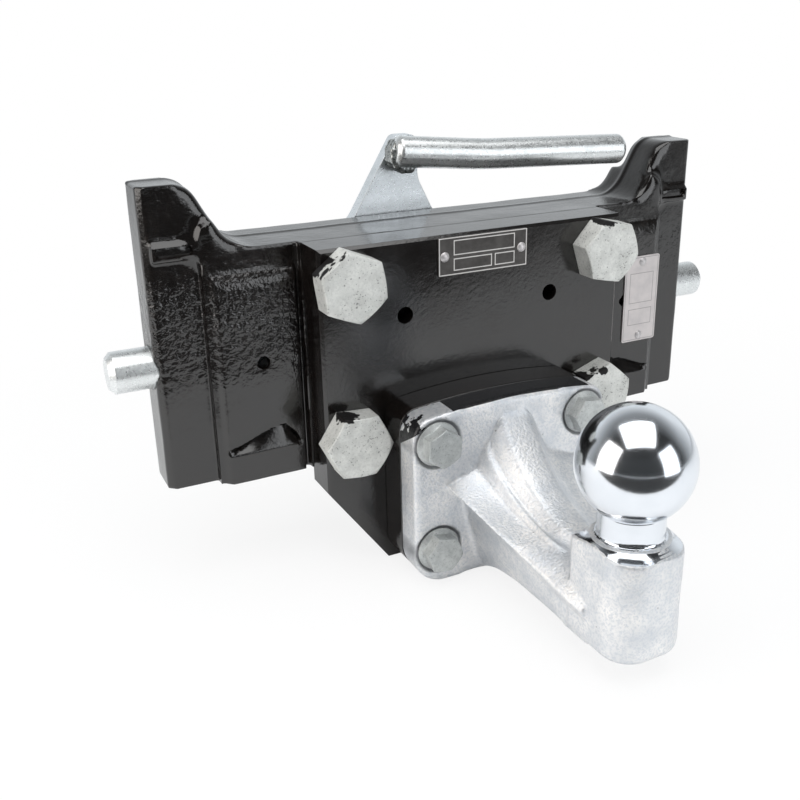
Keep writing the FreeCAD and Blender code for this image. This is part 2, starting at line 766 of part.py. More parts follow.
def make_adapter_plate():
    # A thick plate with straight sides that turn in to a narrow foot
    body = new_body("adapter_plate")
    profile = front_sketch(body, "plate_outline", "-seat_front")
    outline(profile, mirrored([("plate_foot_half", "-plate_foot"), ("plate_half", "-plate_skirt"),
                               ("plate_half", "saddle_height")]))
    pad(body, profile, "plate_thickness")
    soften(body, "Chamfer", "x", [("-plate_front", "saddle_height")], "plate_bevel")
    soften(body, "Chamfer", "z", [("plate_half", "-plate_front"), ("-plate_half", "-plate_front")],
           "plate_bevel")
    holes = front_sketch(body, "plate_holes", "-plate_front")
    for x in ("-bolt_place", "bolt_place"):
        for z in ("-bolt_rows / 2", "bolt_rows / 2"):
            circle(holes, x, z, "bolt_size / 2 + bolt_hole_gap")
    for x in ("-accessory_spacing / 2", "accessory_spacing / 2"):
        circle(holes, x, "accessory_height", "accessory_hole / 2")
    for x, z in flange_bolt_places():
        circle(holes, x, z, "flange_bolt_size / 2")
    pocket(body, holes, "plate_thickness")
    rivets = front_sketch(body, "type_rivet_holes", "-plate_front")
    for x in type_rivet_places:
        circle(rivets, x, type_plate_middle, "rivet_shank / 2")
    pocket(body, rivets, "rivet_depth")
    return body


def flange_bolt_places():
    # On the carriage, the bolts sit below the pins' axis
    return [(f"{way}flange_bolt_spacing / 2", f"-ball_drop - flange_bolt_centre {rise} flange_bolt_rows / 2")
            for way in ("-", "") for rise in ("-", "+")]


def flange_outline(sketch, drop):
    # Straight sides and foot, under a shallow arched top. The drop moves it down from the ball.
    outline(sketch, [("-flange_half", f"-flange_foot{drop}"), ("flange_half", f"-flange_foot{drop}"),
                     ("flange_half", f"flange_crown - crown_sag{drop}"),
                     ("-flange_half", f"flange_crown - crown_sag{drop}")],
            {2: (("0", f"flange_crown - flange_crown_radius{drop}"), "left")})


def round_flange(body, drop):
    soften(body, "Fillet", "y", both_sides("flange_half", f"-flange_foot{drop}"), "flange_foot_round")
    soften(body, "Fillet", "y", both_sides("flange_half", f"flange_crown - crown_sag{drop}"),
           "flange_top_round")


def round_rim(body, axis, level, size, back=None):
    # A fillet round the rim that lies in one plane across the axis. An edge at the back stays
    # sharp where a back is given.
    doc.recompute()
    base = body.Tip
    height = number(level)
    names = []
    for count, edge in enumerate(base.Shape.Edges, start=1):
        box = edge.BoundBox
        low, high = getattr(box, axis.upper() + "Min"), getattr(box, axis.upper() + "Max")
        beyond = back is not None and edge.CenterOfMass.y > number(back) - 0.01
        if abs(low - height) < 0.01 and abs(high - height) < 0.01 and not beyond:
            names.append(f"Edge{count}")
    feature = body.newObject("PartDesign::Fillet", f"{base.Name}_rim")
    feature.Base = (base, names)
    tie(feature, "Radius", size)


def make_flange_spacer():
    body = new_body("flange_spacer")
    profile = front_sketch(body, "spacer_outline", "-plate_front")
    flange_outline(profile, " - ball_drop")
    pad(body, profile, "spacer_thickness")
    round_flange(body, " - ball_drop")
    holes = front_sketch(body, "spacer_holes", "-spacer_front")
    for x, z in flange_bolt_places():
        circle(holes, x, z, "flange_bolt_size / 2 + bolt_hole_gap")
    pocket(body, holes, "spacer_thickness")
    return body


def arm_section(body, index, share):
    # The forged arm narrows from the flange to the boss. Its spine drops quickly at first, its
    # ribs run straight, and its underside is level after a hollow beside the flange.
    steep = 1 - (1 - share) ** 3.2
    foot = (1 - share) ** 6
    narrow = 1 - 0.45 * share
    spine = f"-spine_root - (spine_tip - spine_root) * {steep:.4f}"
    groove = f"-groove_root - (groove_tip - groove_root) * {steep:.4f}"
    rib = f"-rib_root - (rib_tip - rib_root) * {share:.4f}"
    keel = f"-boss_foot - (flange_foot - boss_foot) * {foot:.4f}"
    half = [("keel_half", keel), (f"(rib_half + keel_half) / 2 * {narrow:.4f}", f"({rib}) - 10"),
            (f"rib_half * {narrow:.4f}", rib), (f"groove_half * {narrow:.4f}", groove),
            (f"(spine_half + 5) * {narrow:.4f}", f"({spine}) - {7 * (1 - share) + 2:.2f}"),
            (f"spine_half * {narrow:.4f}", spine)]
    sketch = front_sketch(body, f"arm_section_{index}", f"(arm_root + 2) * {1 - share:.4f}")
    outline(sketch, mirrored(half))
    return sketch


def make_ball_carrier():
    body = new_body("ball_carrier", on_carriage=False)
    # Upright boss under the ball
    boss = sketch_on(body, "boss_outline", "XY_Plane", "-boss_foot")
    outline(boss, rectangle("-boss_width / 2", "-boss_front", "boss_width / 2", "boss_back"))
    pad(body, boss, "boss_foot - boss_top")
    soften(body, "Fillet", "z", [("boss_width / 2", "-boss_front"), ("-boss_width / 2", "-boss_front")],
           "boss_round")
    round_rim(body, "z", "-boss_foot", "boss_edge", "boss_back")
    # Flange
    flange = front_sketch(body, "flange_outline", "arm_root + flange_thickness")
    flange_outline(flange, "")
    pad(body, flange, "flange_thickness")
    round_flange(body, "")
    round_rim(body, "y", "arm_root", "flange_edge")
    # Arm from the flange to the boss
    shares = (0, 0.1, 0.25, 0.5, 0.97)
    sections = [arm_section(body, index, share) for index, share in enumerate(shares)]
    arm = body.newObject("PartDesign::AdditiveLoft", "arm")
    arm.Profile = sections[0]
    arm.Sections = sections[1:]
    # The machined flare where the neck grows out of the boss
    flare = sketch_on(body, "flare_profile", "XZ_Plane", "0")
    outline(flare, [("neck_half", "-flare_foot + flare_radius"),
                    ("neck_half + flare_radius", "-flare_foot"), ("boss_width", "-flare_foot"),
                    ("boss_width", "-boss_top + 3"), ("neck_half", "-boss_top + 10")],
            {0: (("neck_half + flare_radius", "-flare_foot + flare_radius"), "left")})
    turned(body, flare, "V_Axis", "PartDesign::Groove")
    ball = sketch_on(body, "ball_profile", "XZ_Plane", "0")
    outline(ball, [("0", "ball_half"), ("neck_half", "-neck_join"),
                   ("neck_half", "-flare_foot - 2"), ("0", "-flare_foot - 2")],
            {0: (("0", "0"), "right")})
    turned(body, ball, "V_Axis")
    # Bolt holes with flats for the bolt heads
    holes = front_sketch(body, "flange_holes", "arm_root")
    flats = front_sketch(body, "flange_flats", "arm_root - 30")
    for x in ("-flange_bolt_spacing / 2", "flange_bolt_spacing / 2"):
        for rise in ("-", "+"):
            z = f"-flange_bolt_centre {rise} flange_bolt_rows / 2"
            circle(holes, x, z, "flange_bolt_size / 2 + bolt_hole_gap")
            circle(flats, x, z, "spotface_size / 2")
    pocket(body, holes, "flange_thickness")
    pocket(body, flats, "30 + spotface_depth")
    return body


def hex_corners(flats, turn=0):
    # A hexagon round the origin, from its width across flats
    corners = []
    for index in range(6):
        angle = math.radians(60 * index + turn)
        corners.append((f"({flats}) / 2 * {math.cos(angle) / math.cos(math.pi / 6):.6f}",
                        f"({flats}) / 2 * {math.sin(angle) / math.cos(math.pi / 6):.6f}"))
    return corners


def make_bolt(name, bolt, skirt=None):
    # A hexagon bolt along Y, with the seat of its head at the origin and its shank towards +Y
    body = new_body(name, on_carriage=False)
    head = front_sketch(body, f"{name}_head", "0")
    outline(head, hex_corners(f"{bolt}_flats"))
    pad(body, head, f"{bolt}_head")
    crown = sketch_on(body, f"{name}_crown", "YZ_Plane", "0")
    half = f"{bolt}_flats / 2"
    outline(crown, [(f"-{bolt}_head - 1", f"{half} * 0.96"), (f"-{bolt}_head - 1", f"{half} * 1.3"),
                    (f"-{bolt}_head + {half} * 0.2", f"{half} * 1.3"),
                    (f"-{bolt}_head", f"{half} * 0.96")])
    turned(body, crown, "H_Axis", "PartDesign::Groove")
    if skirt:
        collar = sketch_on(body, f"{name}_skirt", "YZ_Plane", "0")
        height = f"{skirt}_height"
        outline(collar, [("0", "0"), ("0", f"{skirt} / 2"), (f"-{height} * 0.5", f"{skirt} / 2"),
                         (f"-{height} * 1.6", f"{half} * 0.9"), (f"-{height} * 1.6", "0")])
        turned(body, collar, "H_Axis")
    shank = sketch_on(body, f"{name}_shank", "YZ_Plane", "0")
    outline(shank, [("-1", "0"), (f"{bolt}_length", "0"), (f"{bolt}_length", f"{bolt}_size / 2 - 1.5"),
                    (f"{bolt}_length - 1.5", f"{bolt}_size / 2"), ("-1", f"{bolt}_size / 2")])
    turned(body, shank, "H_Axis")
    return body


def group(name, pattern, places):
    # Copies of one fastener, each at its own place on the carriage and turned by its own angle
    copies = []
    for index, (x, y, z, turn) in enumerate(places, start=1):
        copy = doc.addObject("App::Link", f"{name}_{index}")
        copy.LinkedObject = pattern
        copy.Placement.Rotation = FreeCAD.Rotation(FreeCAD.Vector(0, 1, 0), turn)
        place_on_carriage(copy, x, y, z)
        copies.append(copy)
    whole = doc.addObject("Part::Compound", name)
    whole.Label = name
    whole.Links = copies
    return whole


def make_rivet():
    # A dome head at the origin that faces -Y, with a short shank towards +Y
    body = new_body("rivet", on_carriage=False)
    profile = sketch_on(body, "rivet_profile", "YZ_Plane", "0")
    dome = "((rivet_size / 2) ^ 2 + rivet_stand ^ 2) / (2 * rivet_stand)"
    outline(profile, [("-rivet_stand", "0"), ("0", "rivet_size / 2"), ("0", "rivet_shank / 2"),
                      ("rivet_depth", "rivet_shank / 2"), ("rivet_depth", "0")],
            {0: ((f"-rivet_stand + {dome}", "0"), "right")})
    turned(body, profile, "H_Axis")
    return body


def make_plate(name, x, z, width, height, y, rivets):
    # A thin plate with rounded corners and a hole for each rivet
    body = new_body(name)
    profile = front_sketch(body, f"{name}_outline", y)
    outline(profile, rectangle(f"{x} - {width} / 2", f"{z} - {height} / 2",
                               f"{x} + {width} / 2", f"{z} + {height} / 2"))
    for place in rivets:
        circle(profile, *place, "rivet_shank / 2")
    pad(body, profile, "plate_sheet")
    corners = [(f"{x} {a} {width} / 2", f"{z} {b} {height} / 2") for a in "+-" for b in "+-"]
    soften(body, "Fillet", "y", corners, "plate_corner")
    return body


def check_and_write(pieces):
    doc.recompute()
    for item in doc.Objects:
        if any(word in ("Invalid", "Error") for word in item.State):
            raise RuntimeError(f"{item.Label} did not compute")
    os.makedirs("parts", exist_ok=True)
    for piece in pieces:
        shape = piece.Shape
        if shape.isNull() or not shape.isValid():
            raise RuntimeError(f"{piece.Label} has no valid shape")
        shape.exportStep(f"parts/{piece.Label}.step")
        print(piece.Label, len(shape.Solids), round(shape.Volume))


pieces = [make_guide_frame()]
for side in (-1, 1):
    pieces.append(make_locking_pin(side))
    pieces.append(make_follower_peg(side))
pieces.append(make_lever_plate())
handle_bar = make_handle_bar()
pieces.append(handle_bar)
pieces.append(make_handle_weld())
pieces.append(make_pivot_stud())
pieces.append(ring("pivot_bush", "lever_front", "lever_thickness", "bush_bore_half", "bush_half"))
pieces.append(ring("pivot_washer", "washer_front", "washer_thickness", "bush_bore_half",
                   "washer_size / 2"))
pieces.append(make_retaining_ring())
pieces.append(make_spring_peg("spring_frame_peg", "-spring_foot", "body_back - spring_peg_size * 2"))
pieces.append(make_spring_peg("spring_lever_peg", "-spring_top", "lever_front"))
pieces.append(make_return_spring())
pieces.append(make_adapter_plate())
pieces.append(make_flange_spacer())
pieces.append(make_ball_carrier())

adapter_bolt = make_bolt("adapter_bolt", "bolt")
# The heads stop where they are tight, so each is turned by its own angle
adapter_turns = {("-", "-"): 4, ("-", "+"): 22, ("", "-"): 41, ("", "+"): 12}
pieces.append(group("adapter_bolts", adapter_bolt,
                    [(f"{way}bolt_place", "-plate_front", f"{rise}bolt_rows / 2", turn)
                     for (way, rise), turn in adapter_turns.items()]))
flange_bolt = make_bolt("flange_bolt", "flange_bolt", "flange_bolt_skirt")
flange_turns = (10, 34, 25, 5)
pieces.append(group("flange_bolts", flange_bolt,
                    [(x, "-flange_front + spotface_depth", z, turn)
                     for (x, z), turn in zip(flange_bolt_places(), flange_turns)]))

pieces.append(make_plate("type_plate", "type_plate_place", type_plate_middle, "type_plate_width",
                         "type_plate_height", "-plate_front",
                         [(x, type_plate_middle) for x in type_rivet_places]))
pieces.append(make_plate("rating_plate", "rating_plate_place", "0", "rating_plate_width",
                         "rating_plate_height", "-seat_front",
                         [("rating_plate_place", z) for z in rating_rivet_heights]))
rivet = make_rivet()
pieces.append(group("type_plate_rivets", rivet,
                    [(x, "-plate_front - plate_sheet", type_plate_middle, 0) for x in type_rivet_places]))
pieces.append(group("rating_plate_rivets", rivet,
                    [("rating_plate_place", "-seat_front - plate_sheet", z, 0)
                     for z in rating_rivet_heights]))
check_and_write(pieces)
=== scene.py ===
import math
import bmesh
import bpy
from mathutils import Matrix, Vector, noise


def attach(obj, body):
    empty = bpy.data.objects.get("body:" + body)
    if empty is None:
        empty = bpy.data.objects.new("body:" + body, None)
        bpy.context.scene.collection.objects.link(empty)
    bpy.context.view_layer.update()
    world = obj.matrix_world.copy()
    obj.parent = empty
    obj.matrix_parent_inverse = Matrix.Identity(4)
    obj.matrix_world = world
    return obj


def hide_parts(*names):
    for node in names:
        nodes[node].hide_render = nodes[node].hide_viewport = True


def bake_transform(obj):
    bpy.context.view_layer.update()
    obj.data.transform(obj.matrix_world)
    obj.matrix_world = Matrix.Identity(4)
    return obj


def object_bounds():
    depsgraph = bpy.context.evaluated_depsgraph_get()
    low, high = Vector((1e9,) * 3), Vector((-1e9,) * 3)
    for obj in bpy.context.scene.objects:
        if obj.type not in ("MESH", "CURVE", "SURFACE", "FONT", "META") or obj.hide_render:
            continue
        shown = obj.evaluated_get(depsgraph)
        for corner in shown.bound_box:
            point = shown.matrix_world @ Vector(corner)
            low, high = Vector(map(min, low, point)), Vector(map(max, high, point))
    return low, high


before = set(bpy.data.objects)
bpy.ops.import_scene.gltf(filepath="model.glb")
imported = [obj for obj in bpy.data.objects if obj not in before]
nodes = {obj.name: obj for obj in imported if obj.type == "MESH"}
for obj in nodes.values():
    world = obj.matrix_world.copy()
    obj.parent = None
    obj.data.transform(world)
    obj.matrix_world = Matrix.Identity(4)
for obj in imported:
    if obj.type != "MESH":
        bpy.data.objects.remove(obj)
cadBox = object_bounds()
scene = bpy.context.scene
scene.view_settings.view_transform = "Standard"
mm = 0.001
print("frame loaded,", len(nodes), "nodes")


# Shader helpers

def newFinish(name):
    finish = bpy.data.materials.new(name)
    finish.use_nodes = True
    return finish, finish.node_tree, finish.node_tree.nodes["Principled BSDF"]


def addNode(tree, kind, settings=None, **inputs):
    # An input is a number, a colour or another node's socket; i0, i1 and so on count the sockets
    node = tree.nodes.new("ShaderNode" + kind)
    for field, value in (settings or {}).items():
        setattr(node, field, value)
    for field, value in inputs.items():
        plug(tree, node, field.replace("_", " "), value)
    return node


def plug(tree, node, field, value):
    counted = field[0] == "i" and field[1:].isdigit()
    socket = node.inputs[int(field[1:]) if counted else field]
    if isinstance(value, bpy.types.NodeSocket):
        tree.links.new(value, socket)
    else:
        socket.default_value = value


def placeOf(tree):
    return addNode(tree, "TexCoord").outputs["Object"]


def axesOf(tree, place):
    return addNode(tree, "SeparateXYZ", Vector=place).outputs


def speckle(tree, place, scale, detail=3.0, rough=0.6, twist=0.0):
    return addNode(tree, "TexNoise", Vector=place, Scale=scale, Detail=detail, Roughness=rough,
                   Distortion=twist).outputs["Fac"]


def spread(tree, value, low, high, first, last):
    return addNode(tree, "MapRange", Value=value, From_Min=low, From_Max=high, To_Min=first,
                   To_Max=last).outputs["Result"]


def graded(tree, speckles, first, last):
    # Most of a noise lies between 0.3 and 0.7
    return spread(tree, speckles, 0.3, 0.7, first, last)


def calc(tree, action, a, b=0.0):
    return addNode(tree, "Math", {"operation": action}, i0=a, i1=b).outputs[0]


def product(tree, first, *others):
    for other in others:
        first = calc(tree, "MULTIPLY", first, other)
    return first


def distanceTo(tree, value, centre):
    return calc(tree, "ABSOLUTE", calc(tree, "SUBTRACT", value, centre))


def dotOf(tree, a, b):
    return addNode(tree, "VectorMath", {"operation": "DOT_PRODUCT"}, i0=a, i1=b).outputs["Value"]


def mixOf(tree, share, a, b):
    return addNode(tree, "Mix", i0=share, i2=a, i3=b).outputs[0]


def blendOf(tree, share, a, b):
    return addNode(tree, "Mix", {"data_type": "RGBA"}, i0=share, i6=a, i7=b).outputs[2]


def bumpOf(tree, height, distance, strength=1.0, below=None):
    node = addNode(tree, "Bump", Height=height, Distance=distance, Strength=strength)
    if below:
        tree.links.new(below, node.inputs["Normal"])
    return node.outputs["Normal"]


# Black paint

blackPaint = {
    "dark": (0.0045, 0.0036, 0.0032, 1), "dust": (0.017, 0.013, 0.011, 1), "specular": 0.85,
    "gloss": 0.08, "dull": 0.2, "cloudScale": 38, "dustClouds": (0.42, 0.7),
    "dustScale": 420, "dustGrains": (0.4, 0.75),
    "waveScale": 95, "waveDepth": 0.25 * mm, "waveStrength": 0.6,
    "peelScale": 480, "peelDepth": 0.06 * mm, "grainScale": 2000, "grainDepth": 0.02 * mm,
}
# The forged skin that shows through the paint, most on the upper part of the left panel
forgedSkin = {
    "footFade": (0.0, 0.03), "topFade": (0.066, 0.048), "topShare": 0.15,
    "sideFade": (-0.06, -0.1), "sideShare": 0.3, "scale": 300, "depth": 0.4 * mm, "strength": 0.9,
}


def makeBlackPaint(name, values, skin=None):
    finish, tree, shader = newFinish(name)
    place = placeOf(tree)
    cloud = speckle(tree, place, values["cloudScale"], detail=4)
    grains = speckle(tree, place, values["dustScale"], detail=4)
    dust = product(tree, spread(tree, cloud, *values["dustClouds"], 0, 1),
                   spread(tree, grains, *values["dustGrains"], 0, 1))
    plug(tree, shader, "Base Color", blendOf(tree, dust, values["dark"], values["dust"]))
    plug(tree, shader, "Roughness", graded(tree, cloud, values["gloss"], values["dull"]))
    shader.inputs["Specular IOR Level"].default_value = values["specular"]
    waves = speckle(tree, place, values["waveScale"], detail=2, rough=0.5)
    surface = bumpOf(tree, waves, values["waveDepth"], values["waveStrength"])
    if skin:
        rise = axesOf(tree, place)["Z"]
        patch = product(tree, spread(tree, rise, *skin["footFade"], 0, 1),
                        spread(tree, rise, *skin["topFade"], skin["topShare"], 1),
                        spread(tree, axesOf(tree, place)["X"], *skin["sideFade"], skin["sideShare"], 1))
        pits = speckle(tree, place, skin["scale"], detail=2.5, rough=0.55, twist=0.15)
        height = product(tree, graded(tree, pits, 0, 1), patch)
        surface = bumpOf(tree, height, skin["depth"], skin["strength"], surface)
    peel = speckle(tree, place, values["peelScale"], detail=2)
    surface = bumpOf(tree, peel, values["peelDepth"], below=surface)
    surface = bumpOf(tree, speckle(tree, place, values["grainScale"]), values["grainDepth"], below=surface)
    plug(tree, shader, "Normal", surface)
    return finish


# Zinc on the carrier's forging

zincCasting = {
    "light": (0.94, 0.925, 0.91, 1), "dark": (0.54, 0.58, 0.63, 1), "pit": (0.2, 0.2, 0.21, 1),
    "roughness": (0.36, 0.54), "metal": 0.8, "cloudScale": 55, "cloudRange": (0.3, 0.68), "cloudLeast": 0.25,
    "grainScale": 820, "grainRange": (0.36, 0.56), "grainShare": 0.55, "grainDepth": 0.34 * mm,
    "spotScale": 330, "spotRange": (0.73, 0.8), "spotShare": 0.8,
    "dentScale": 130, "dentDepth": 0.5 * mm, "dentStrength": 0.5,
}
# Painted shade and grime: a dark ring in the gap round each of the four bolt heads
boltGapShadeAndGrime = {
    "across": 41.5 * mm, "rise": 28 * mm, "centre": -47.2 * mm, "inner": 11.6 * mm, "outer": 13.4 * mm,
    "waver": 3 * mm, "share": 0.85,
}
# A bare strip of black film on the flange's top, and a painted dark reflection on its left corner
flangeFilmAndDarkReflection = {
    "tone": (0.009, 0.009, 0.01, 1), "roughness": 0.24,
    "filmMiddle": 6 * mm, "filmHalf": 39 * mm, "filmFront": 92.5 * mm, "filmFacing": 0.6,
    "darkReflectionScale": 160, "darkReflectionSide": (-0.054, -0.036), "darkReflectionLift": (0.16, -0.5), "darkReflectionLevel": 0.52,
    "darkReflectionAlong": (-0.35, 0.6, 1.0), "darkReflectionPlace": 61 * mm,
}


# A dark ring of painted shade and grime round each flange bolt head
def shadeAndGrimeRings(tree, axes, cloud, values):
    across = calc(tree, "SUBTRACT", distanceTo(tree, axes["X"], 0.0), values["across"])
    rise = calc(tree, "SUBTRACT", distanceTo(tree, axes["Z"], values["centre"]), values["rise"])
    squares = calc(tree, "ADD", calc(tree, "POWER", across, 2.0), calc(tree, "POWER", rise, 2.0))
    waver = product(tree, calc(tree, "SUBTRACT", cloud, 0.5), values["waver"])
    away = calc(tree, "ADD", calc(tree, "SQRT", squares), waver)
    return spread(tree, away, values["inner"], values["outer"], values["share"], 0.0)


def filmAndReflectionOnFlange(tree, place, axes, values):
    facing = axesOf(tree, addNode(tree, "TexCoord").outputs["Normal"])["Z"]
    beside = distanceTo(tree, axes["X"], values["filmMiddle"])
    film = product(tree, calc(tree, "LESS_THAN", beside, values["filmHalf"]),
                   calc(tree, "GREATER_THAN", axes["Y"], values["filmFront"]),
                   calc(tree, "GREATER_THAN", facing, values["filmFacing"]))
    # A painted dark reflection, ragged at its edge, on the flange's rounded left corner
    lift = spread(tree, axes["X"], *values["darkReflectionSide"], *values["darkReflectionLift"])
    ragged = calc(tree, "ADD", speckle(tree, place, values["darkReflectionScale"], detail=4), lift)
    along = dotOf(tree, place, values["darkReflectionAlong"])
    darkReflection = product(tree, calc(tree, "GREATER_THAN", ragged, values["darkReflectionLevel"]),
                    calc(tree, "GREATER_THAN", along, values["darkReflectionPlace"]))
    return calc(tree, "MAXIMUM", film, darkReflection)


def makeZincCasting(name, values):
    finish, tree, shader = newFinish(name)
    place = placeOf(tree)
    axes = axesOf(tree, place)
    cloud = speckle(tree, place, values["cloudScale"], detail=5)
    grit = speckle(tree, place, values["grainScale"], detail=2)
    light = spread(tree, cloud, *values["cloudRange"], values["cloudLeast"], 1)
    tone = blendOf(tree, light, values["dark"], values["light"])
    shade = spread(tree, grit, *values["grainRange"], values["grainShare"], 0)
    tone = blendOf(tree, shade, tone, values["dark"])
    spots = speckle(tree, place, values["spotScale"], detail=2, rough=0.5)
    spots = spread(tree, spots, *values["spotRange"], 0, values["spotShare"])
    tone = blendOf(tree, spots, tone, values["pit"])
    # Painted shade and grime darken the gap round each bolt head
    tone = blendOf(tree, shadeAndGrimeRings(tree, axes, cloud, boltGapShadeAndGrime), tone, values["pit"])
    # Black film, and a painted dark reflection on the flange's left corner
    filmAndReflection = filmAndReflectionOnFlange(tree, place, axes, flangeFilmAndDarkReflection)
    plug(tree, shader, "Base Color", blendOf(tree, filmAndReflection, tone, flangeFilmAndDarkReflection["tone"]))
    plug(tree, shader, "Metallic", spread(tree, filmAndReflection, 0, 1, values["metal"], 0.0))
    rough = graded(tree, grit, *values["roughness"])
    plug(tree, shader, "Roughness", mixOf(tree, filmAndReflection, rough, flangeFilmAndDarkReflection["roughness"]))
    dents = speckle(tree, place, values["dentScale"])
    dents = bumpOf(tree, dents, values["dentDepth"], values["dentStrength"])
    plug(tree, shader, "Normal", bumpOf(tree, grit, values["grainDepth"], below=dents))
    return finish


# Zinc on turned steel

polishedZinc = {
    "tint": (0.83, 0.86, 0.90, 1), "haze": (0.68, 0.72, 0.77, 1), "hazeScale": 70, "hazeRange": (0.35, 0.7),
    "hazeShare": 0.35, "hazeDepth": 0.05 * mm, "hazeStrength": 0.2, "roughness": 0.11, "streak": 0.06,
    "markScale": 2400, "markDepth": 0.004 * mm, "markStrength": 0.5,
}


def makePolishedZinc(name, values):
    finish, tree, shader = newFinish(name)
    place = placeOf(tree)
    # Turning marks run round the upright axis
    rings = addNode(tree, "CombineXYZ", X=0.0, Y=0.0, Z=axesOf(tree, place)["Z"]).outputs[0]
    marks = speckle(tree, rings, values["markScale"], detail=4)
    haze = speckle(tree, place, values["hazeScale"], detail=4)
    share = spread(tree, haze, *values["hazeRange"], 0, values["hazeShare"])
    plug(tree, shader, "Base Color", blendOf(tree, share, values["tint"], values["haze"]))
    shader.inputs["Metallic"].default_value = 1.0
    rough = values["roughness"]
    plug(tree, shader, "Roughness", graded(tree, haze, rough, rough + values["streak"]))
    lines = bumpOf(tree, marks, values["markDepth"], values["markStrength"])
    plug(tree, shader, "Normal", bumpOf(tree, haze, values["hazeDepth"], values["hazeStrength"], lines))
    return finish


# Zinc with fine flakes, on the bar, the lever, the pins and the weld

spangledZinc = {
    "light": (0.84, 0.86, 0.86, 1), "dark": (0.36, 0.39, 0.39, 1), "metal": 0.92, "roughness": (0.26, 0.42),
    "flakeScale": 1700, "flakeDepth": 0.008 * mm, "flakeStrength": 0.5, "flakeShare": 0.6,
    "speckScale": 900, "speckRange": (0.55, 0.7), "cloudScale": 90, "cloudRange": (0.5, 0.75),
    "dentScale": 240, "dentDepth": 0.05 * mm, "dentStrength": 0.4,
}


def makeSpangledZinc(name, values, darkness):
    finish, tree, shader = newFinish(name)
    place = placeOf(tree)
    flakes = addNode(tree, "TexVoronoi", Vector=place, Scale=values["flakeScale"])
    tone = addNode(tree, "SeparateColor", Color=flakes.outputs["Color"]).outputs[0]
    cloud = speckle(tree, place, values["cloudScale"], detail=5)
    specks = speckle(tree, place, values["speckScale"])
    shares = (spread(tree, tone, 0, 1, values["flakeShare"] * darkness, 0),
              spread(tree, specks, *values["speckRange"], 0, darkness),
              spread(tree, cloud, *values["cloudRange"], 0, darkness))
    base = values["light"]
    for share in shares:
        base = blendOf(tree, share, base, values["dark"])
    plug(tree, shader, "Base Color", base)
    shader.inputs["Metallic"].default_value = values["metal"]
    plug(tree, shader, "Roughness", spread(tree, tone, 0, 1, *values["roughness"]))
    dents = speckle(tree, place, values["dentScale"])
    dents = bumpOf(tree, dents, values["dentDepth"], values["dentStrength"])
    plug(tree, shader, "Normal", bumpOf(tree, tone, values["flakeDepth"], values["flakeStrength"], dents))
    return finish


# Galvanised bolts

boltZinc = {
    "light": (0.74, 0.745, 0.715, 1), "dark": (0.5, 0.505, 0.485, 1), "pit": (0.04, 0.04, 0.04, 1),
    "metal": 0.5, "roughness": 0.5, "roughest": 0.7, "cloudScale": 120, "cloudRange": (0.35, 0.65),
    "cloudShare": 0.7, "mottleScale": 700, "mottleRange": (0.45, 0.7), "mottleShare": 0.5,
    "pitScale": 1100, "pitGather": (0.35, 0.7, -0.05, 0.07), "pitRange": (0.66, 0.7),
    "dentDepth": 0.35 * mm, "dentStrength": 0.6, "mottleDepth": 0.05 * mm, "patch": None,
}
# Black paint caught on the upper left edge of each head
headPatch = {
    "across": 71.5 * mm, "middle": 16.1 * mm, "rise": 39 * mm, "toward": (-0.6, 0.8),
    "edge": (13.6 * mm, 14.0 * mm), "waver": (-0.007, 0.005), "waverScale": 45, "tone": (0.01, 0.009, 0.009, 1),
}


def paintOnHeads(tree, place, values):
    axes = axesOf(tree, place)
    height = calc(tree, "SUBTRACT", axes["Z"], values["middle"])
    shares = []
    for along, half, pull in ((axes["X"], values["across"], values["toward"][0]),
                              (height, values["rise"], values["toward"][1])):
        centre = product(tree, calc(tree, "SIGN", along), half)
        shares.append(product(tree, calc(tree, "SUBTRACT", along, centre), pull))
    waver = graded(tree, speckle(tree, place, values["waverScale"], detail=4), *values["waver"])
    return spread(tree, calc(tree, "ADD", calc(tree, "ADD", *shares), waver), *values["edge"], 0, 1)


def makeBoltZinc(name, values, pits):
    finish, tree, shader = newFinish(name)
    place = placeOf(tree)
    cloud = speckle(tree, place, values["cloudScale"], detail=5)
    mottle = speckle(tree, place, values["mottleScale"], detail=4, rough=0.7)
    share = spread(tree, cloud, *values["cloudRange"], 0, values["cloudShare"])
    base = blendOf(tree, share, values["light"], values["dark"])
    share = spread(tree, mottle, *values["mottleRange"], 0, values["mottleShare"])
    base = blendOf(tree, share, base, values["dark"])
    # Pits gather in clusters
    spots = speckle(tree, place, values["pitScale"], detail=2, rough=0.4)
    spots = calc(tree, "ADD", spots, spread(tree, cloud, *values["pitGather"]))
    base = blendOf(tree, spread(tree, spots, *values["pitRange"], 0, pits), base, values["pit"])
    if values["patch"]:
        base = blendOf(tree, paintOnHeads(tree, place, values["patch"]), base, values["patch"]["tone"])
    plug(tree, shader, "Base Color", base)
    shader.inputs["Metallic"].default_value = values["metal"]
    plug(tree, shader, "Roughness", graded(tree, mottle, values["roughness"], values["roughest"]))
    dents = bumpOf(tree, cloud, values["dentDepth"], values["dentStrength"])
    plug(tree, shader, "Normal", bumpOf(tree, mottle, values["mottleDepth"], below=dents))
    return finish


# Rolled or brushed metal with faint lines along one axis

satinLines = {
    "stretch": (1, 40, 1), "scale": 160, "depth": 0.01 * mm, "strength": 0.5, "streak": 0.12,
    "cloudScale": 80, "cloudRange": (0.4, 0.8), "cloudShare": 0.4,
}


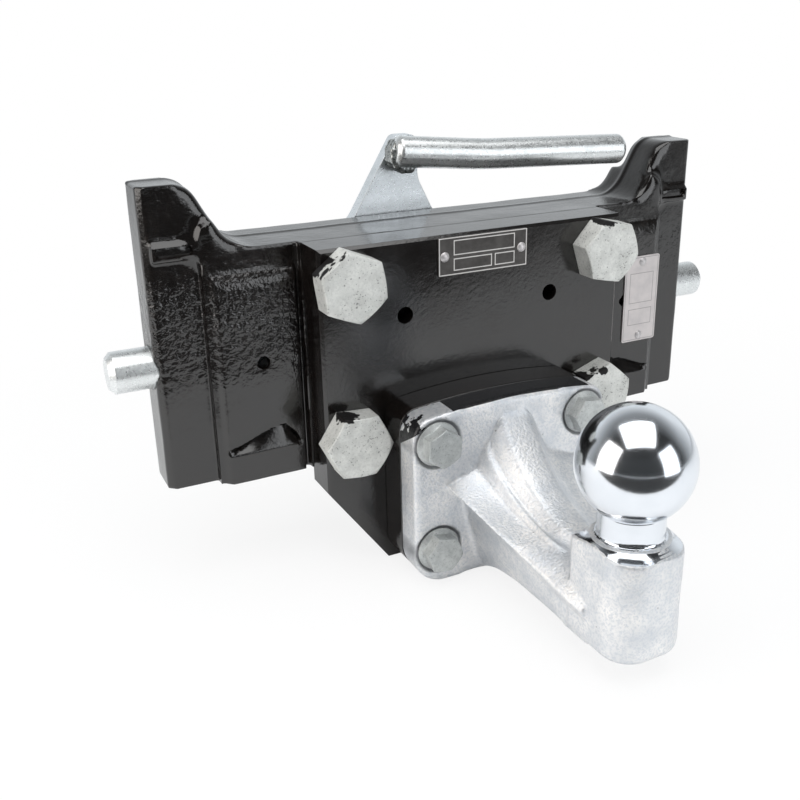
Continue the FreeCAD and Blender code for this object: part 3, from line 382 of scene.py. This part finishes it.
def makeSatin(name, light, dark, metal, roughness):
    values = satinLines
    finish, tree, shader = newFinish(name)
    place = placeOf(tree)
    stretched = addNode(tree, "Mapping", Vector=place, Scale=values["stretch"]).outputs[0]
    lines = speckle(tree, stretched, values["scale"], detail=4, rough=0.7)
    cloud = speckle(tree, place, values["cloudScale"])
    tone = blendOf(tree, graded(tree, lines, 0, 1), light, dark)
    share = spread(tree, cloud, *values["cloudRange"], 0, values["cloudShare"])
    plug(tree, shader, "Base Color", blendOf(tree, share, tone, dark))
    shader.inputs["Metallic"].default_value = metal
    plug(tree, shader, "Roughness", graded(tree, lines, roughness, roughness + values["streak"]))
    plug(tree, shader, "Normal", bumpOf(tree, lines, values["depth"], values["strength"]))
    return finish


# Printed plates, with their edge line and their fields left bare

plateWear = {
    "cloudScale": 140, "cloudRange": (0.35, 0.75), "streak": 0.1, "lineCore": 0.7,
    "waveScale": 60, "waveDepth": 0.15 * mm, "waveStrength": 0.4,
}
# A field is (left, right, foot, top) as shares of the plate
typePlateFace = {
    "face": (0.05, 0.046, 0.044, 1), "worn": (0.09, 0.085, 0.08, 1), "line": (0.62, 0.6, 0.58, 1),
    "lineInset": 0.55 * mm, "lineHalf": 0.3 * mm, "metal": 0.5, "roughness": 0.3,
    "fields": [(0.16, 0.6, 0.1, 0.45), (0.62, 0.86, 0.1, 0.45), (0.16, 0.86, 0.5, 0.92)],
}
ratingPlateFace = {
    "face": (0.62, 0.58, 0.57, 1), "worn": (0.52, 0.49, 0.49, 1), "line": (0.3, 0.28, 0.28, 1),
    "lineInset": 0.9 * mm, "lineHalf": 0.2 * mm, "metal": 0.6, "roughness": 0.36,
    "fields": [(0.12, 0.88, 0.18, 0.4), (0.12, 0.88, 0.44, 0.82)],
}


def spotsOf(node):
    return [nodes[node].matrix_world @ vertex.co for vertex in nodes[node].data.vertices]


def makePlateFace(name, values, node):
    finish, tree, shader = newFinish(name)
    place = placeOf(tree)
    axes = axesOf(tree, place)
    across, upward = ([getattr(spot, axis) for spot in spotsOf(node)] for axis in "xz")
    wide, low = max(across) - min(across), min(across)
    tall, foot = max(upward) - min(upward), min(upward)
    lines = None
    for left, right, lower, upper in [(0.0, 1.0, 0.0, 1.0)] + values["fields"]:
        edges = [(axes["X"], low + left * wide, low + right * wide),
                 (axes["Z"], foot + lower * tall, foot + upper * tall)]
        insets = [calc(tree, "SUBTRACT", (end - start) / 2, distanceTo(tree, along, (start + end) / 2))
                  for along, start, end in edges]
        gap = distanceTo(tree, calc(tree, "MINIMUM", *insets), values["lineInset"])
        line = spread(tree, gap, values["lineHalf"] * plateWear["lineCore"], values["lineHalf"], 1.0, 0.0)
        lines = line if lines is None else calc(tree, "MAXIMUM", lines, line)
    cloud = speckle(tree, place, plateWear["cloudScale"], detail=4)
    worn = spread(tree, cloud, *plateWear["cloudRange"], 0, 1)
    base = blendOf(tree, worn, values["face"], values["worn"])
    plug(tree, shader, "Base Color", blendOf(tree, lines, base, values["line"]))
    shader.inputs["Metallic"].default_value = values["metal"]
    rough = values["roughness"]
    plug(tree, shader, "Roughness", graded(tree, cloud, rough, rough + plateWear["streak"]))
    waves = speckle(tree, place, plateWear["waveScale"], detail=2)
    plug(tree, shader, "Normal", bumpOf(tree, waves, plateWear["waveDepth"], plateWear["waveStrength"]))
    return finish


barZinc = {**spangledZinc, "flakeScale": 1300, "flakeDepth": 0.003 * mm}
leverZinc = {**spangledZinc, "light": (0.80, 0.84, 0.87, 1)}
weldZinc = {**spangledZinc, "light": (0.52, 0.54, 0.53, 1), "dark": (0.1, 0.11, 0.11, 1), "flakeScale": 1400,
            "roughness": (0.22, 0.4)}
flangeBoltZinc = {**boltZinc, "light": (0.62, 0.64, 0.63, 1), "dark": (0.4, 0.42, 0.42, 1), "metal": 0.75,
                  "roughness": 0.36}

finishes = {
    "framePaint": makeBlackPaint("framePaint", blackPaint, forgedSkin),
    "platePaint": makeBlackPaint("platePaint", {**blackPaint, "waveDepth": 0.12 * mm}),
    "carrierZinc": makeZincCasting("carrierZinc", zincCasting),
    "ballZinc": makePolishedZinc("ballZinc", polishedZinc),
    "pinZinc": makeSpangledZinc("pinZinc", spangledZinc, 0.22),
    "barZinc": makeSpangledZinc("barZinc", barZinc, 0.34),
    "leverZinc": makeSpangledZinc("leverZinc", leverZinc, 0.3),
    "weld": makeSpangledZinc("weldZinc", weldZinc, 0.9),
    "bolt": makeBoltZinc("boltGalvanised", {**boltZinc, "patch": headPatch}, 0.6),
    "flangeBolt": makeBoltZinc("flangeBoltZinc", flangeBoltZinc, 0.4),
    "steel": makeSatin("brightSteel", (0.62, 0.62, 0.62, 1), (0.42, 0.42, 0.42, 1), 1.0, 0.3),
    "bronze": makeSatin("bushBronze", (0.62, 0.42, 0.2, 1), (0.4, 0.26, 0.12, 1), 1.0, 0.35),
    "silverPlate": makeSatin("plateSilver", (0.72, 0.69, 0.69, 1), (0.55, 0.53, 0.53, 1), 0.7, 0.38),
    "darkPlate": makePlateFace("typePlateDark", typePlateFace, "type_plate"),
    "ratingPlate": makePlateFace("ratingPlateSilver", ratingPlateFace, "rating_plate"),
}
print("finishes made,", len(finishes))


# Mesh helpers

def newPiece(name, mesh, finish, body=None):
    piece = bpy.data.objects.new(name, mesh)
    scene.collection.objects.link(piece)
    mesh.materials.clear()
    mesh.materials.append(finishes[finish])
    if body:
        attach(piece, body)
    return piece


def applied(piece):
    # The piece's modifiers become its mesh
    bpy.context.view_layer.update()
    whole = piece.evaluated_get(bpy.context.evaluated_depsgraph_get())
    mesh = bpy.data.meshes.new_from_object(whole)
    piece.modifiers.clear()
    piece.data = mesh


def smoothShaded(mesh, limit):
    # Smooth faces, with a crease where two faces meet at more than the limit
    work = bmesh.new()
    work.from_mesh(mesh)
    for face in work.faces:
        face.smooth = True
    for edge in work.edges:
        edge.smooth = len(edge.link_faces) == 2 and edge.calc_face_angle(0) < math.radians(limit)
    work.to_mesh(mesh)
    work.free()


def lathe(name, profile, steps):
    # Turns a closed or capped profile of (radius, height) points, in millimetres, about the upright axis
    mesh = bpy.data.meshes.new(name)
    work = bmesh.new()
    rows = []
    for radius, height in profile:
        turns = [2 * math.pi * step / steps for step in range(steps if radius > 0 else 1)]
        rows.append([work.verts.new(Vector((radius * math.cos(turn), radius * math.sin(turn), height)) * mm)
                     for turn in turns])
    for below, above in zip(rows, rows[1:]):
        for step in range(steps):
            after = (step + 1) % steps
            corners = [below[step % len(below)], below[after % len(below)],
                       above[after % len(above)], above[step % len(above)]]
            kept = list(dict.fromkeys(corners))
            if len(kept) > 2:
                work.faces.new(kept)
    bmesh.ops.remove_doubles(work, verts=work.verts, dist=0.001 * mm)
    bmesh.ops.recalc_face_normals(work, faces=work.faces)
    work.to_mesh(mesh)
    work.free()
    return mesh


def copyOf(node):
    mesh = nodes[node].data.copy()
    work = bmesh.new()
    work.from_mesh(mesh)
    bmesh.ops.remove_doubles(work, verts=work.verts, dist=0.002 * mm)
    work.to_mesh(mesh)
    work.free()
    return mesh


def remeshed(piece, voxel, rounds):
    # One even skin, with every edge rounded
    shell = piece.modifiers.new("shell", "REMESH")
    shell.mode = "VOXEL"
    shell.voxel_size = voxel * mm
    ease = piece.modifiers.new("ease", "SMOOTH")
    ease.iterations = rounds
    applied(piece)


def softened(piece, name, rounds, weight):
    # Smooths the piece where the weight of x, y and z, in millimetres, is above nothing
    group = piece.vertex_groups.new(name=name)
    for vertex in piece.data.vertices:
        share = weight(*(vertex.co / mm))
        if share > 0:
            group.add([vertex.index], share, "REPLACE")
    ease = piece.modifiers.new(name, "SMOOTH")
    ease.iterations = rounds
    ease.vertex_group = name
    applied(piece)


def bevelled(name, node, finish, width, values):
    # A machined piece with its sharp edges broken
    piece = newPiece(name, copyOf(node), finish)
    work = bmesh.new()
    work.from_mesh(piece.data)
    flat = math.radians(values["flat"])
    bmesh.ops.dissolve_limit(work, angle_limit=flat, verts=work.verts, edges=work.edges)
    work.to_mesh(piece.data)
    work.free()
    edge = piece.modifiers.new("edge", "BEVEL")
    edge.width = width * mm
    edge.segments = values["segments"]
    edge.limit_method = "ANGLE"
    edge.angle_limit = math.radians(values["sharp"])
    edge.use_clamp_overlap = True
    applied(piece)
    smoothShaded(piece.data, values["crease"])
    even = piece.modifiers.new("even", "WEIGHTED_NORMAL")
    even.keep_sharp = True
    applied(piece)
    return piece


def moveVerts(piece, rule):
    vertices = piece.data.vertices
    starts = [(vertex.co.copy(), vertex.normal.copy()) for vertex in vertices]
    for vertex, (place, normal) in zip(vertices, starts):
        vertex.co = place + rule(place, normal)
    piece.data.update()


def smoothStep(value, low, high):
    share = min(1, max(0, (value - low) / (high - low)))
    return share * share * (3 - 2 * share)


def bell(value, centre, half):
    gap = (value - centre) / half
    return math.exp(-gap * gap)


# Guide frame

forgedFrame = {
    "voxel": 0.85, "rounds": 2, "waveScale": 55, "waveHeight": 0.22 * mm, "crease": 50,
    "slopeRounds": 110, "slopeFoot": (61, 69), "slopeMiddle": 125, "slopeSide": (9, 14),
    "seamPlace": 172 * mm, "seamWidth": 1.6 * mm, "seamHeight": 0.55 * mm,
    "topFacing": 0.3, "earFacing": 0.02, "earFoot": 0.06,
}
# Relief on the front, in millimetres: the panel's bevel, the scoop across its foot and the lug's slot.
# A reach is the y behind which the surface isn't part of that relief.
frontRelief = {
    "backFacing": 0.35, "reach": 156, "panelReach": 150.5, "bevelReach": 147.4, "slotReach": 152,
    "lugInner": 133.6, "lugOuter": 149.4, "slotFoot": 70.4, "slotTop": 74.4, "slotDepth": 2.2,
    "panelFront": 144.5, "panelInner": 88, "panelOuter": 129, "sideBevel": 126.1,
    "bevelFoot": 52.0, "bevelTop": 60.4, "bevelDepth": 2.8,
    "scoopInner": 90.5, "scoopOuter": 127.8, "scoopFoot": -28.6, "scoopEnd": -15.5,
    "scoopLow": 3.4, "scoopHigh": 7.8, "scoopDepth": 5.2, "scoopTurn": 0.75, "scoopTaper": 5,
}


def relief(spot, normal):
    # How far the front surface moves back at a point, in metres
    values = frontRelief
    x, y, z = abs(spot.x) / mm, spot.y / mm, spot.z / mm
    if normal.y > values["backFacing"] or y > values["reach"]:
        return 0.0
    if values["lugInner"] < x < values["lugOuter"] and values["slotFoot"] < z < values["slotTop"]:
        return values["slotDepth"] * mm if y < values["slotReach"] else 0.0
    if y > values["panelReach"]:
        return 0.0
    onPanel = values["panelInner"] < x < values["panelOuter"]
    if onPanel and values["bevelFoot"] < z < values["bevelTop"] and y < values["bevelReach"]:
        share = (z - values["bevelFoot"]) / (values["bevelTop"] - values["bevelFoot"])
        return max(0.0, values["panelFront"] + values["bevelDepth"] * share * share - y) * mm
    along = (values["scoopOuter"] - x) / (values["scoopOuter"] - values["scoopInner"])
    if 0 < along < 1 and values["scoopFoot"] - 1 < z < values["scoopEnd"]:
        reach = values["scoopLow"] + values["scoopHigh"] * smoothStep(along, 0.0, values["scoopTurn"])
        reach *= min(1.0, (1 - along) * values["scoopTaper"]) ** 0.5
        share = (z - values["scoopFoot"]) / reach
        depth = 0.0
        if 0 < share <= 1:
            depth = values["scoopDepth"] * min(1.0, along * values["scoopTaper"]) * share
        return (values["panelFront"] + max(0.0, x - values["sideBevel"]) + depth - y) * mm
    return 0.0


def makeFrame():
    values = forgedFrame
    piece = newPiece("forgedFrame", copyOf("guide_frame"), "framePaint", "carriage")
    remeshed(piece, values["voxel"], values["rounds"])

    # The thick body runs softly into the ears' slopes
    softened(piece, "slope", values["slopeRounds"],
             lambda x, y, z: smoothStep(z, *values["slopeFoot"])
             * (1 - smoothStep(abs(abs(x) - values["slopeMiddle"]), *values["slopeSide"])))

    def raised(place, normal):
        # Parting line of the forging on the top edges, and slight waves everywhere
        height = noise.noise(place * values["waveScale"]) * values["waveHeight"]
        onEar = normal.z > values["earFacing"] and place.z > values["earFoot"]
        if normal.z > values["topFacing"] or onEar:
            height += values["seamHeight"] * bell(place.y, values["seamPlace"], values["seamWidth"])
        return normal * height + Vector((0, relief(place, normal), 0))

    moveVerts(piece, raised)
    smoothShaded(piece.data, values["crease"])
    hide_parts("guide_frame")


# Ball carrier

carrierForm = {
    "voxel": 0.7, "rounds": 6, "waveScale": 60, "waveHeight": 0.25 * mm, "crease": 38,
    "armRounds": 80, "armFront": (17, 27), "armBack": (92, 96), "armSide": (26, 30),
    "ribFront": (26, 40), "ribBack": (90, 91), "ribRoot": -16.0, "ribTurn": 4.0, "ribRun": 50,
    "ribHalf": 2.4, "ribHeight": 2.0, "ribFacing": 0.1,
    "spineSpread": 3.0, "spineHalf": 4, "spineFade": (7, 17),
    "turnedFoot": -0.03, "turnedBack": 30, "neck": 14.25, "neckSkin": 1,
    "flareTop": -25.4, "flareRadius": 10, "flareFoot": -35.4, "flareSteps": 10,
    "toolRadius": 60.0, "toolTop": 40.0, "toolSteps": 96,
}
couplingBall = {
    "radius": 25, "steps": 72, "turns": 128, "neckProud": 0.05, "neckRun": 0.3, "neckEnd": 0.5, "crease": 50,
}


def flareProfile(values):
    # The quarter round between the neck and the boss, as (radius, height) points
    radius, steps = values["flareRadius"], values["flareSteps"]
    turns = [math.radians(180 + 90 * step / steps) for step in range(steps + 1)]
    return [(values["neck"] + radius + radius * math.cos(turn), values["flareTop"] + radius * math.sin(turn))
            for turn in turns]


def makeCarrier():
    values = carrierForm
    piece = newPiece("carrierForging", copyOf("ball_carrier"), "carrierZinc", "carriage")
    remeshed(piece, values["voxel"], values["rounds"])

    # The arm between boss and flange is rounder than the rest
    softened(piece, "arm", values["armRounds"],
             lambda x, y, z: smoothStep(y, *values["armFront"]) * (1 - smoothStep(y, *values["armBack"]))
             * (1 - smoothStep(abs(x), *values["armSide"])))

    def eased(place, normal):
        depth = place.y / mm
        if place.z > values["turnedFoot"] and depth < values["turnedBack"]:
            return Vector()
        move = normal * noise.noise(place * values["waveScale"]) * values["waveHeight"]
        share = smoothStep(depth, *values["ribFront"]) * (1 - smoothStep(depth, *values["ribBack"]))
        # The spine is broad, and a second rib runs down its left flank
        side = place.x / mm
        lean = max(-1, min(1, side / values["spineHalf"])) * (1 - smoothStep(abs(side), *values["spineFade"]))
        move.x += share * values["spineSpread"] * mm * lean
        if share > 0 and normal.z > values["ribFacing"]:
            root = values["ribRoot"] + (values["ribBack"][0] - depth) / values["ribRun"] * values["ribTurn"]
            move += normal * (share * values["ribHeight"] * mm * bell(side, root, values["ribHalf"]))
        return move

    moveVerts(piece, eased)
    piece.data.materials.append(finishes["ballZinc"])
    # The machined flare is cut with a turned tool that leaves the neck standing
    corner = (values["neck"], values["toolTop"])
    tool = [corner, *flareProfile(values), (values["toolRadius"], values["flareFoot"]),
            (values["toolRadius"], values["toolTop"]), corner]
    cutter = newPiece("flareCutter", lathe("flareCutter", tool, values["toolSteps"]), "ballZinc")
    cut = piece.modifiers.new("flare", "BOOLEAN")
    cut.object = cutter
    cut.operation = "DIFFERENCE"
    cut.solver = "MANIFOLD"
    cut.material_mode = "TRANSFER"
    applied(piece)
    bpy.data.objects.remove(cutter)
    # The neck is turned too
    for face in piece.data.polygons:
        inside = face.center.xy.length < (values["neck"] + values["neckSkin"]) * mm
        if inside and face.center.z > values["flareFoot"] * mm:
            face.material_index = 1
    smoothShaded(piece.data, values["crease"])
    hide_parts("ball_carrier")


def makeBall():
    # The ball ends in a short run of neck
    values = couplingBall
    radius, neck = values["radius"], carrierForm["neck"]
    join = -math.sqrt(radius ** 2 - neck ** 2)
    last = math.acos(join / radius)
    turns = [last * step / values["steps"] for step in range(1, values["steps"] + 1)]
    profile = [(0.0, radius)]
    profile += [(radius * math.sin(turn), radius * math.cos(turn)) for turn in turns]
    profile += [(neck + values["neckProud"], join - values["neckRun"]),
                (neck - values["neckRun"], join - values["neckEnd"])]
    ball = newPiece("couplingBall", lathe("couplingBall", profile, values["turns"]), "ballZinc",
                    "carriage")
    smoothShaded(ball.data, values["crease"])


# Machined plates, bolts and the release gear

machined = {
    # node: (finish, slot, edge width in mm, body)
    "adapter_plate": ("platePaint", "plate_paint", 0.7, "carriage"),
    "flange_spacer": ("platePaint", "plate_paint", 0.6, "carriage"),
    "adapter_bolts": ("bolt", "bolt_galvanised", 0.35, "carriage"),
    "flange_bolts": ("flangeBolt", "flange_bolt_zinc", 1.1, "carriage"),
    "lever_plate": ("leverZinc", "lever_zinc", 0.5, "lever"),
    "left_locking_pin": ("pinZinc", "pin_zinc", 0.9, "left_pin"),
    "right_locking_pin": ("pinZinc", "pin_zinc", 0.9, "right_pin"),
    "handle_bar": ("barZinc", "bar_zinc", 0.9, "lever"),
    "left_follower_peg": ("steel", "pin_zinc", 0.3, "left_pin"),
    "right_follower_peg": ("steel", "pin_zinc", 0.3, "right_pin"),
    "pivot_stud": ("steel", "pin_zinc", 0.3, "carriage"),
    "pivot_bush": ("bronze", "bronze", 0.2, "lever"),
    "pivot_washer": ("steel", "spring_steel", 0.25, "carriage"),
    "pivot_retaining_ring": ("steel", "spring_steel", 0.15, "carriage"),
    "spring_frame_peg": ("steel", "spring_steel", 0.3, "carriage"),
    "spring_lever_peg": ("steel", "spring_steel", 0.3, "lever"),
    "type_plate_rivets": ("silverPlate", "rivet_metal", 0.15, "carriage"),
    "rating_plate_rivets": ("silverPlate", "rivet_metal", 0.15, "carriage"),
}
# Angles in degrees: faces that meet at less than flat are joined, and edges at more than sharp are broken
machinedEdge = {"flat": 0.6, "sharp": 32, "segments": 3, "crease": 40}
sheets = {"type_plate": "darkPlate", "rating_plate": "ratingPlate"}


def makeMachined():
    for node, (finish, slot, width, body) in machined.items():
        piece = bevelled("edged_" + node, node, finish, width, machinedEdge)
        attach(piece, body)
        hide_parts(node)
    for node, finish in sheets.items():
        for spot in nodes[node].material_slots:
            spot.material = finishes[finish]


# Weld that joins the bar to the lever

weldForm = {
    "reach": 7.2, "bead": 2.7, "start": 125, "stop": 300, "count": 15, "inset": 6.8, "depths": (1.5, 4.5, 7.0),
    "rowTurn": 4, "beadLeast": 0.86, "beadSwing": 0.14, "swingStep": 2.6,
    "voxel": 0.5, "rounds": 3, "lumpScale": 330, "lump": 0.35 * mm, "crease": 70,
}


def makeWeld():
    values = weldForm
    spots = spotsOf("handle_bar")
    left = min(spot.x for spot in spots)
    tips = [spot for spot in spots if spot.x < left + 1 * mm]
    end = sum(tips, Vector()) / len(tips)
    mesh = bpy.data.meshes.new("weldBead")
    work = bmesh.new()
    for row, depth in enumerate(values["depths"]):
        for step in range(values["count"]):
            angle = values["start"] + (values["stop"] - values["start"]) * step / (values["count"] - 1)
            turn = math.radians(angle + row * values["rowTurn"])
            spot = end + Vector((values["inset"] + values["reach"] * math.cos(turn), depth,
                                 values["reach"] * math.sin(turn))) * mm
            swing = values["beadSwing"] * math.sin(step * values["swingStep"] + row)
            size = values["bead"] * (values["beadLeast"] + swing) * mm
            bmesh.ops.create_icosphere(work, subdivisions=3, radius=size,
                                       matrix=Matrix.Translation(spot))
    work.to_mesh(mesh)
    work.free()
    piece = newPiece("weldBead", mesh, "weld", "lever")
    remeshed(piece, values["voxel"], values["rounds"])
    moveVerts(piece, lambda place, normal:
              normal * noise.noise(place * values["lumpScale"]) * values["lump"])
    smoothShaded(piece.data, values["crease"])
    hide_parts("handle_weld")


# Return spring, which stretches between the lever's peg and the frame's

springForm = {
    "place": 52, "back": 202.5, "top": 5.1, "foot": -33.9, "hook": 4.3, "stem": 2.2,
    "coil": 4.0, "wire": 0.95, "turns": 12, "turnSteps": 24,
    "footTurn": (130, 450), "topTurn": (270, 590), "hookSteps": 28, "crease": 50,
}


def makeSpring():
    values = springForm
    path = []

    def hooked(centre, first, last):
        for step in range(values["hookSteps"] + 1):
            angle = math.radians(first + (last - first) * step / values["hookSteps"])
            path.append((values["hook"] * math.cos(angle), 0.0, centre + values["hook"] * math.sin(angle)))

    hooked(values["foot"], *values["footTurn"])
    low = values["foot"] + values["hook"] + values["stem"]
    high = values["top"] - values["hook"] - values["stem"]
    count = values["turns"] * values["turnSteps"]
    for step in range(count + 1):
        angle = 2 * math.pi * step / values["turnSteps"]
        path.append((values["coil"] * math.cos(angle), values["coil"] * math.sin(angle),
                     low + (high - low) * step / count))
    hooked(values["top"], *values["topTurn"])
    wire = bpy.data.curves.new("returnSpring", "CURVE")
    wire.dimensions = "3D"
    line = wire.splines.new("POLY")
    line.points.add(len(path) - 1)
    for point, (x, y, z) in zip(line.points, path):
        point.co = (*(Vector((values["place"] + x, values["back"] + y, z)) * mm), 1)
    wire.bevel_depth = values["wire"] * mm
    wire.bevel_resolution = 3
    wire.use_fill_caps = True
    drawn = bpy.data.objects.new("springPath", wire)
    mesh = bpy.data.meshes.new_from_object(drawn)
    bpy.data.objects.remove(drawn)
    piece = newPiece("returnSpring", mesh, "steel")
    smoothShaded(mesh, values["crease"])
    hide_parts("return_spring")
    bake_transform(piece)


makeFrame()
print("guide frame forged")
makeCarrier()
makeBall()
print("ball carrier forged")
makeMachined()
print("machined pieces edged")
makeWeld()
makeSpring()
print("weld and spring made")


# Studio

view = {
    # Place in metres, angles in degrees, lens in millimetres
    "place": (-0.23769, -0.27903, 0.17226), "yaw": 27.36, "pitch": 20.73, "roll": -0.65,
    "lens": 44.07, "shiftX": -0.0363, "shiftY": -0.0261, "nearest": 0.01,
}
softboxes = {
    # name: azimuth from the camera, elevation, distance, width, height, radiance, tint
    "overhead": (0, 80, 1.25, 1.25, 1.25, 2.4, (1, 1, 1)),
    "leftBox": (-68, 20, 1.2, 0.8, 1.1, 2.5, (1, 0.955, 0.915)),
    "rightBox": (56, 15, 1.2, 0.7, 1.0, 2.0, (0.95, 0.975, 1)),
}
# What polished metal mirrors: darkness behind the camera, brightness beyond the part
surround = {
    "tint": (0.93, 0.97, 1.0, 1), "diffuse": 0.55, "dark": 0.05, "bright": 0.9, "turn": (-0.1, 0.7),
    "upper": 0.4, "upperRise": (0.42, 0.8),
}
paleFloor = {
    "size": 8.0, "drop": 0.0004, "tone": 0.86, "roughness": 0.9, "centre": (0.0, 0.1),
    "glow": 0.84, "near": 0.2, "far": 0.5,
}
# A dark card in front of the part, which only shows in reflections
darkCard = {"near": 0.17, "far": 1.9, "half": 1.6, "tone": 0.02, "lift": 0.002}


def levelAxes():
    # The camera's direction and its right, both level
    yaw = math.radians(view["yaw"])
    return Vector((math.sin(yaw), math.cos(yaw), 0)), Vector((math.cos(yaw), -math.sin(yaw), 0))


def makeWorld():
    values = surround
    world = bpy.data.worlds.new("studio")
    world.use_nodes = True
    scene.world = world
    tree = world.node_tree
    ray = addNode(tree, "LightPath").outputs
    toward = addNode(tree, "TexCoord").outputs["Generated"]
    beyond = dotOf(tree, toward, levelAxes()[0])
    mirrored = product(tree, spread(tree, beyond, *values["turn"], values["dark"], values["bright"]),
                       spread(tree, axesOf(tree, toward)["Z"], *values["upperRise"], 1.0, values["upper"]))
    plain = mixOf(tree, ray["Is Glossy Ray"], values["diffuse"], mirrored)
    seen = calc(tree, "MAXIMUM", ray["Is Camera Ray"], ray["Is Transmission Ray"])
    sky = tree.nodes["Background"]
    plug(tree, sky, "Color", blendOf(tree, seen, values["tint"], (1, 1, 1, 1)))
    plug(tree, sky, "Strength", mixOf(tree, seen, plain, 1.0))


def flatPiece(name, corners, finish):
    mesh = bpy.data.meshes.new(name)
    mesh.from_pydata(corners, [], [(0, 1, 2, 3)])
    mesh.materials.append(finish)
    flat = bpy.data.objects.new(name, mesh)
    scene.collection.objects.link(flat)
    return flat


def matt(name, tone, roughness):
    finish, tree, shader = newFinish(name)
    shader.inputs["Base Color"].default_value = (tone, tone, tone, 1)
    shader.inputs["Roughness"].default_value = roughness
    return finish, tree, shader


def makeFloor():
    values = paleFloor
    low = cadBox[0].z - values["drop"]
    finish, tree, shader = matt("paleFloor", values["tone"], values["roughness"])
    shader.inputs["Specular IOR Level"].default_value = 0.0
    # Only the camera sees the floor glow, fully so away from the part
    glow = addNode(tree, "Emission", Color=(1, 1, 1, 1), Strength=1.0)
    away = addNode(tree, "VectorMath", {"operation": "DISTANCE"}, i0=placeOf(tree),
                   i1=(*values["centre"], low)).outputs["Value"]
    share = product(tree, addNode(tree, "LightPath").outputs["Is Camera Ray"],
                    spread(tree, away, values["near"], values["far"], values["glow"], 1.0))
    mix = addNode(tree, "MixShader", i0=share, i1=shader.outputs[0], i2=glow.outputs[0])
    tree.links.new(mix.outputs[0], tree.nodes["Material Output"].inputs["Surface"])
    size = values["size"]
    corners = [(-size, -size, low), (size, -size, low), (size, size, low), (-size, size, low)]
    flatPiece("floor", corners, finish)

    ahead, side = levelAxes()
    lift = Vector((0, 0, low + darkCard["lift"]))
    corners = [ahead * -darkCard[depth] + side * darkCard["half"] * way + lift
               for depth, way in (("near", -1), ("near", 1), ("far", 1), ("far", -1))]
    card = flatPiece("darkCard", corners, matt("cardBlack", darkCard["tone"], 1.0)[0])
    for field in ("camera", "diffuse", "transmission", "volume_scatter", "shadow"):
        setattr(card, "visible_" + field, False)


def makeLights():
    for name, (turn, rise, distance, width, height, radiance, tint) in softboxes.items():
        azimuth = math.radians(view["yaw"] + 180 - turn)
        lift = math.radians(rise)
        level = math.cos(lift)
        away = Vector((math.sin(azimuth) * level, math.cos(azimuth) * level, math.sin(lift)))
        lamp = bpy.data.lights.new(name, "AREA")
        lamp.shape = "RECTANGLE"
        lamp.size = width
        lamp.size_y = height
        lamp.energy = radiance * math.pi * width * height
        lamp.color = tint
        box = bpy.data.objects.new(name, lamp)
        box.location = away * distance
        box.rotation_euler = away.to_track_quat("Z", "Y").to_euler()
        scene.collection.objects.link(box)


def makeCamera():
    pitch, roll = math.radians(view["pitch"]), math.radians(view["roll"])
    level, side = levelAxes()
    ahead = level * math.cos(pitch) - Vector((0, 0, math.sin(pitch)))
    up = side.cross(ahead)
    right = side * math.cos(roll) + up * math.sin(roll)
    top = up * math.cos(roll) - side * math.sin(roll)
    lens = bpy.data.cameras.new("camera")
    lens.lens = view["lens"]
    lens.shift_x = view["shiftX"]
    lens.shift_y = view["shiftY"]
    lens.clip_start = view["nearest"]
    camera = bpy.data.objects.new("camera", lens)
    turned = Matrix((right, top, -ahead)).transposed().to_4x4()
    camera.matrix_world = Matrix.Translation(view["place"]) @ turned
    scene.collection.objects.link(camera)
    scene.camera = camera


makeWorld()
makeFloor()
makeLights()
makeCamera()
print("studio ready")
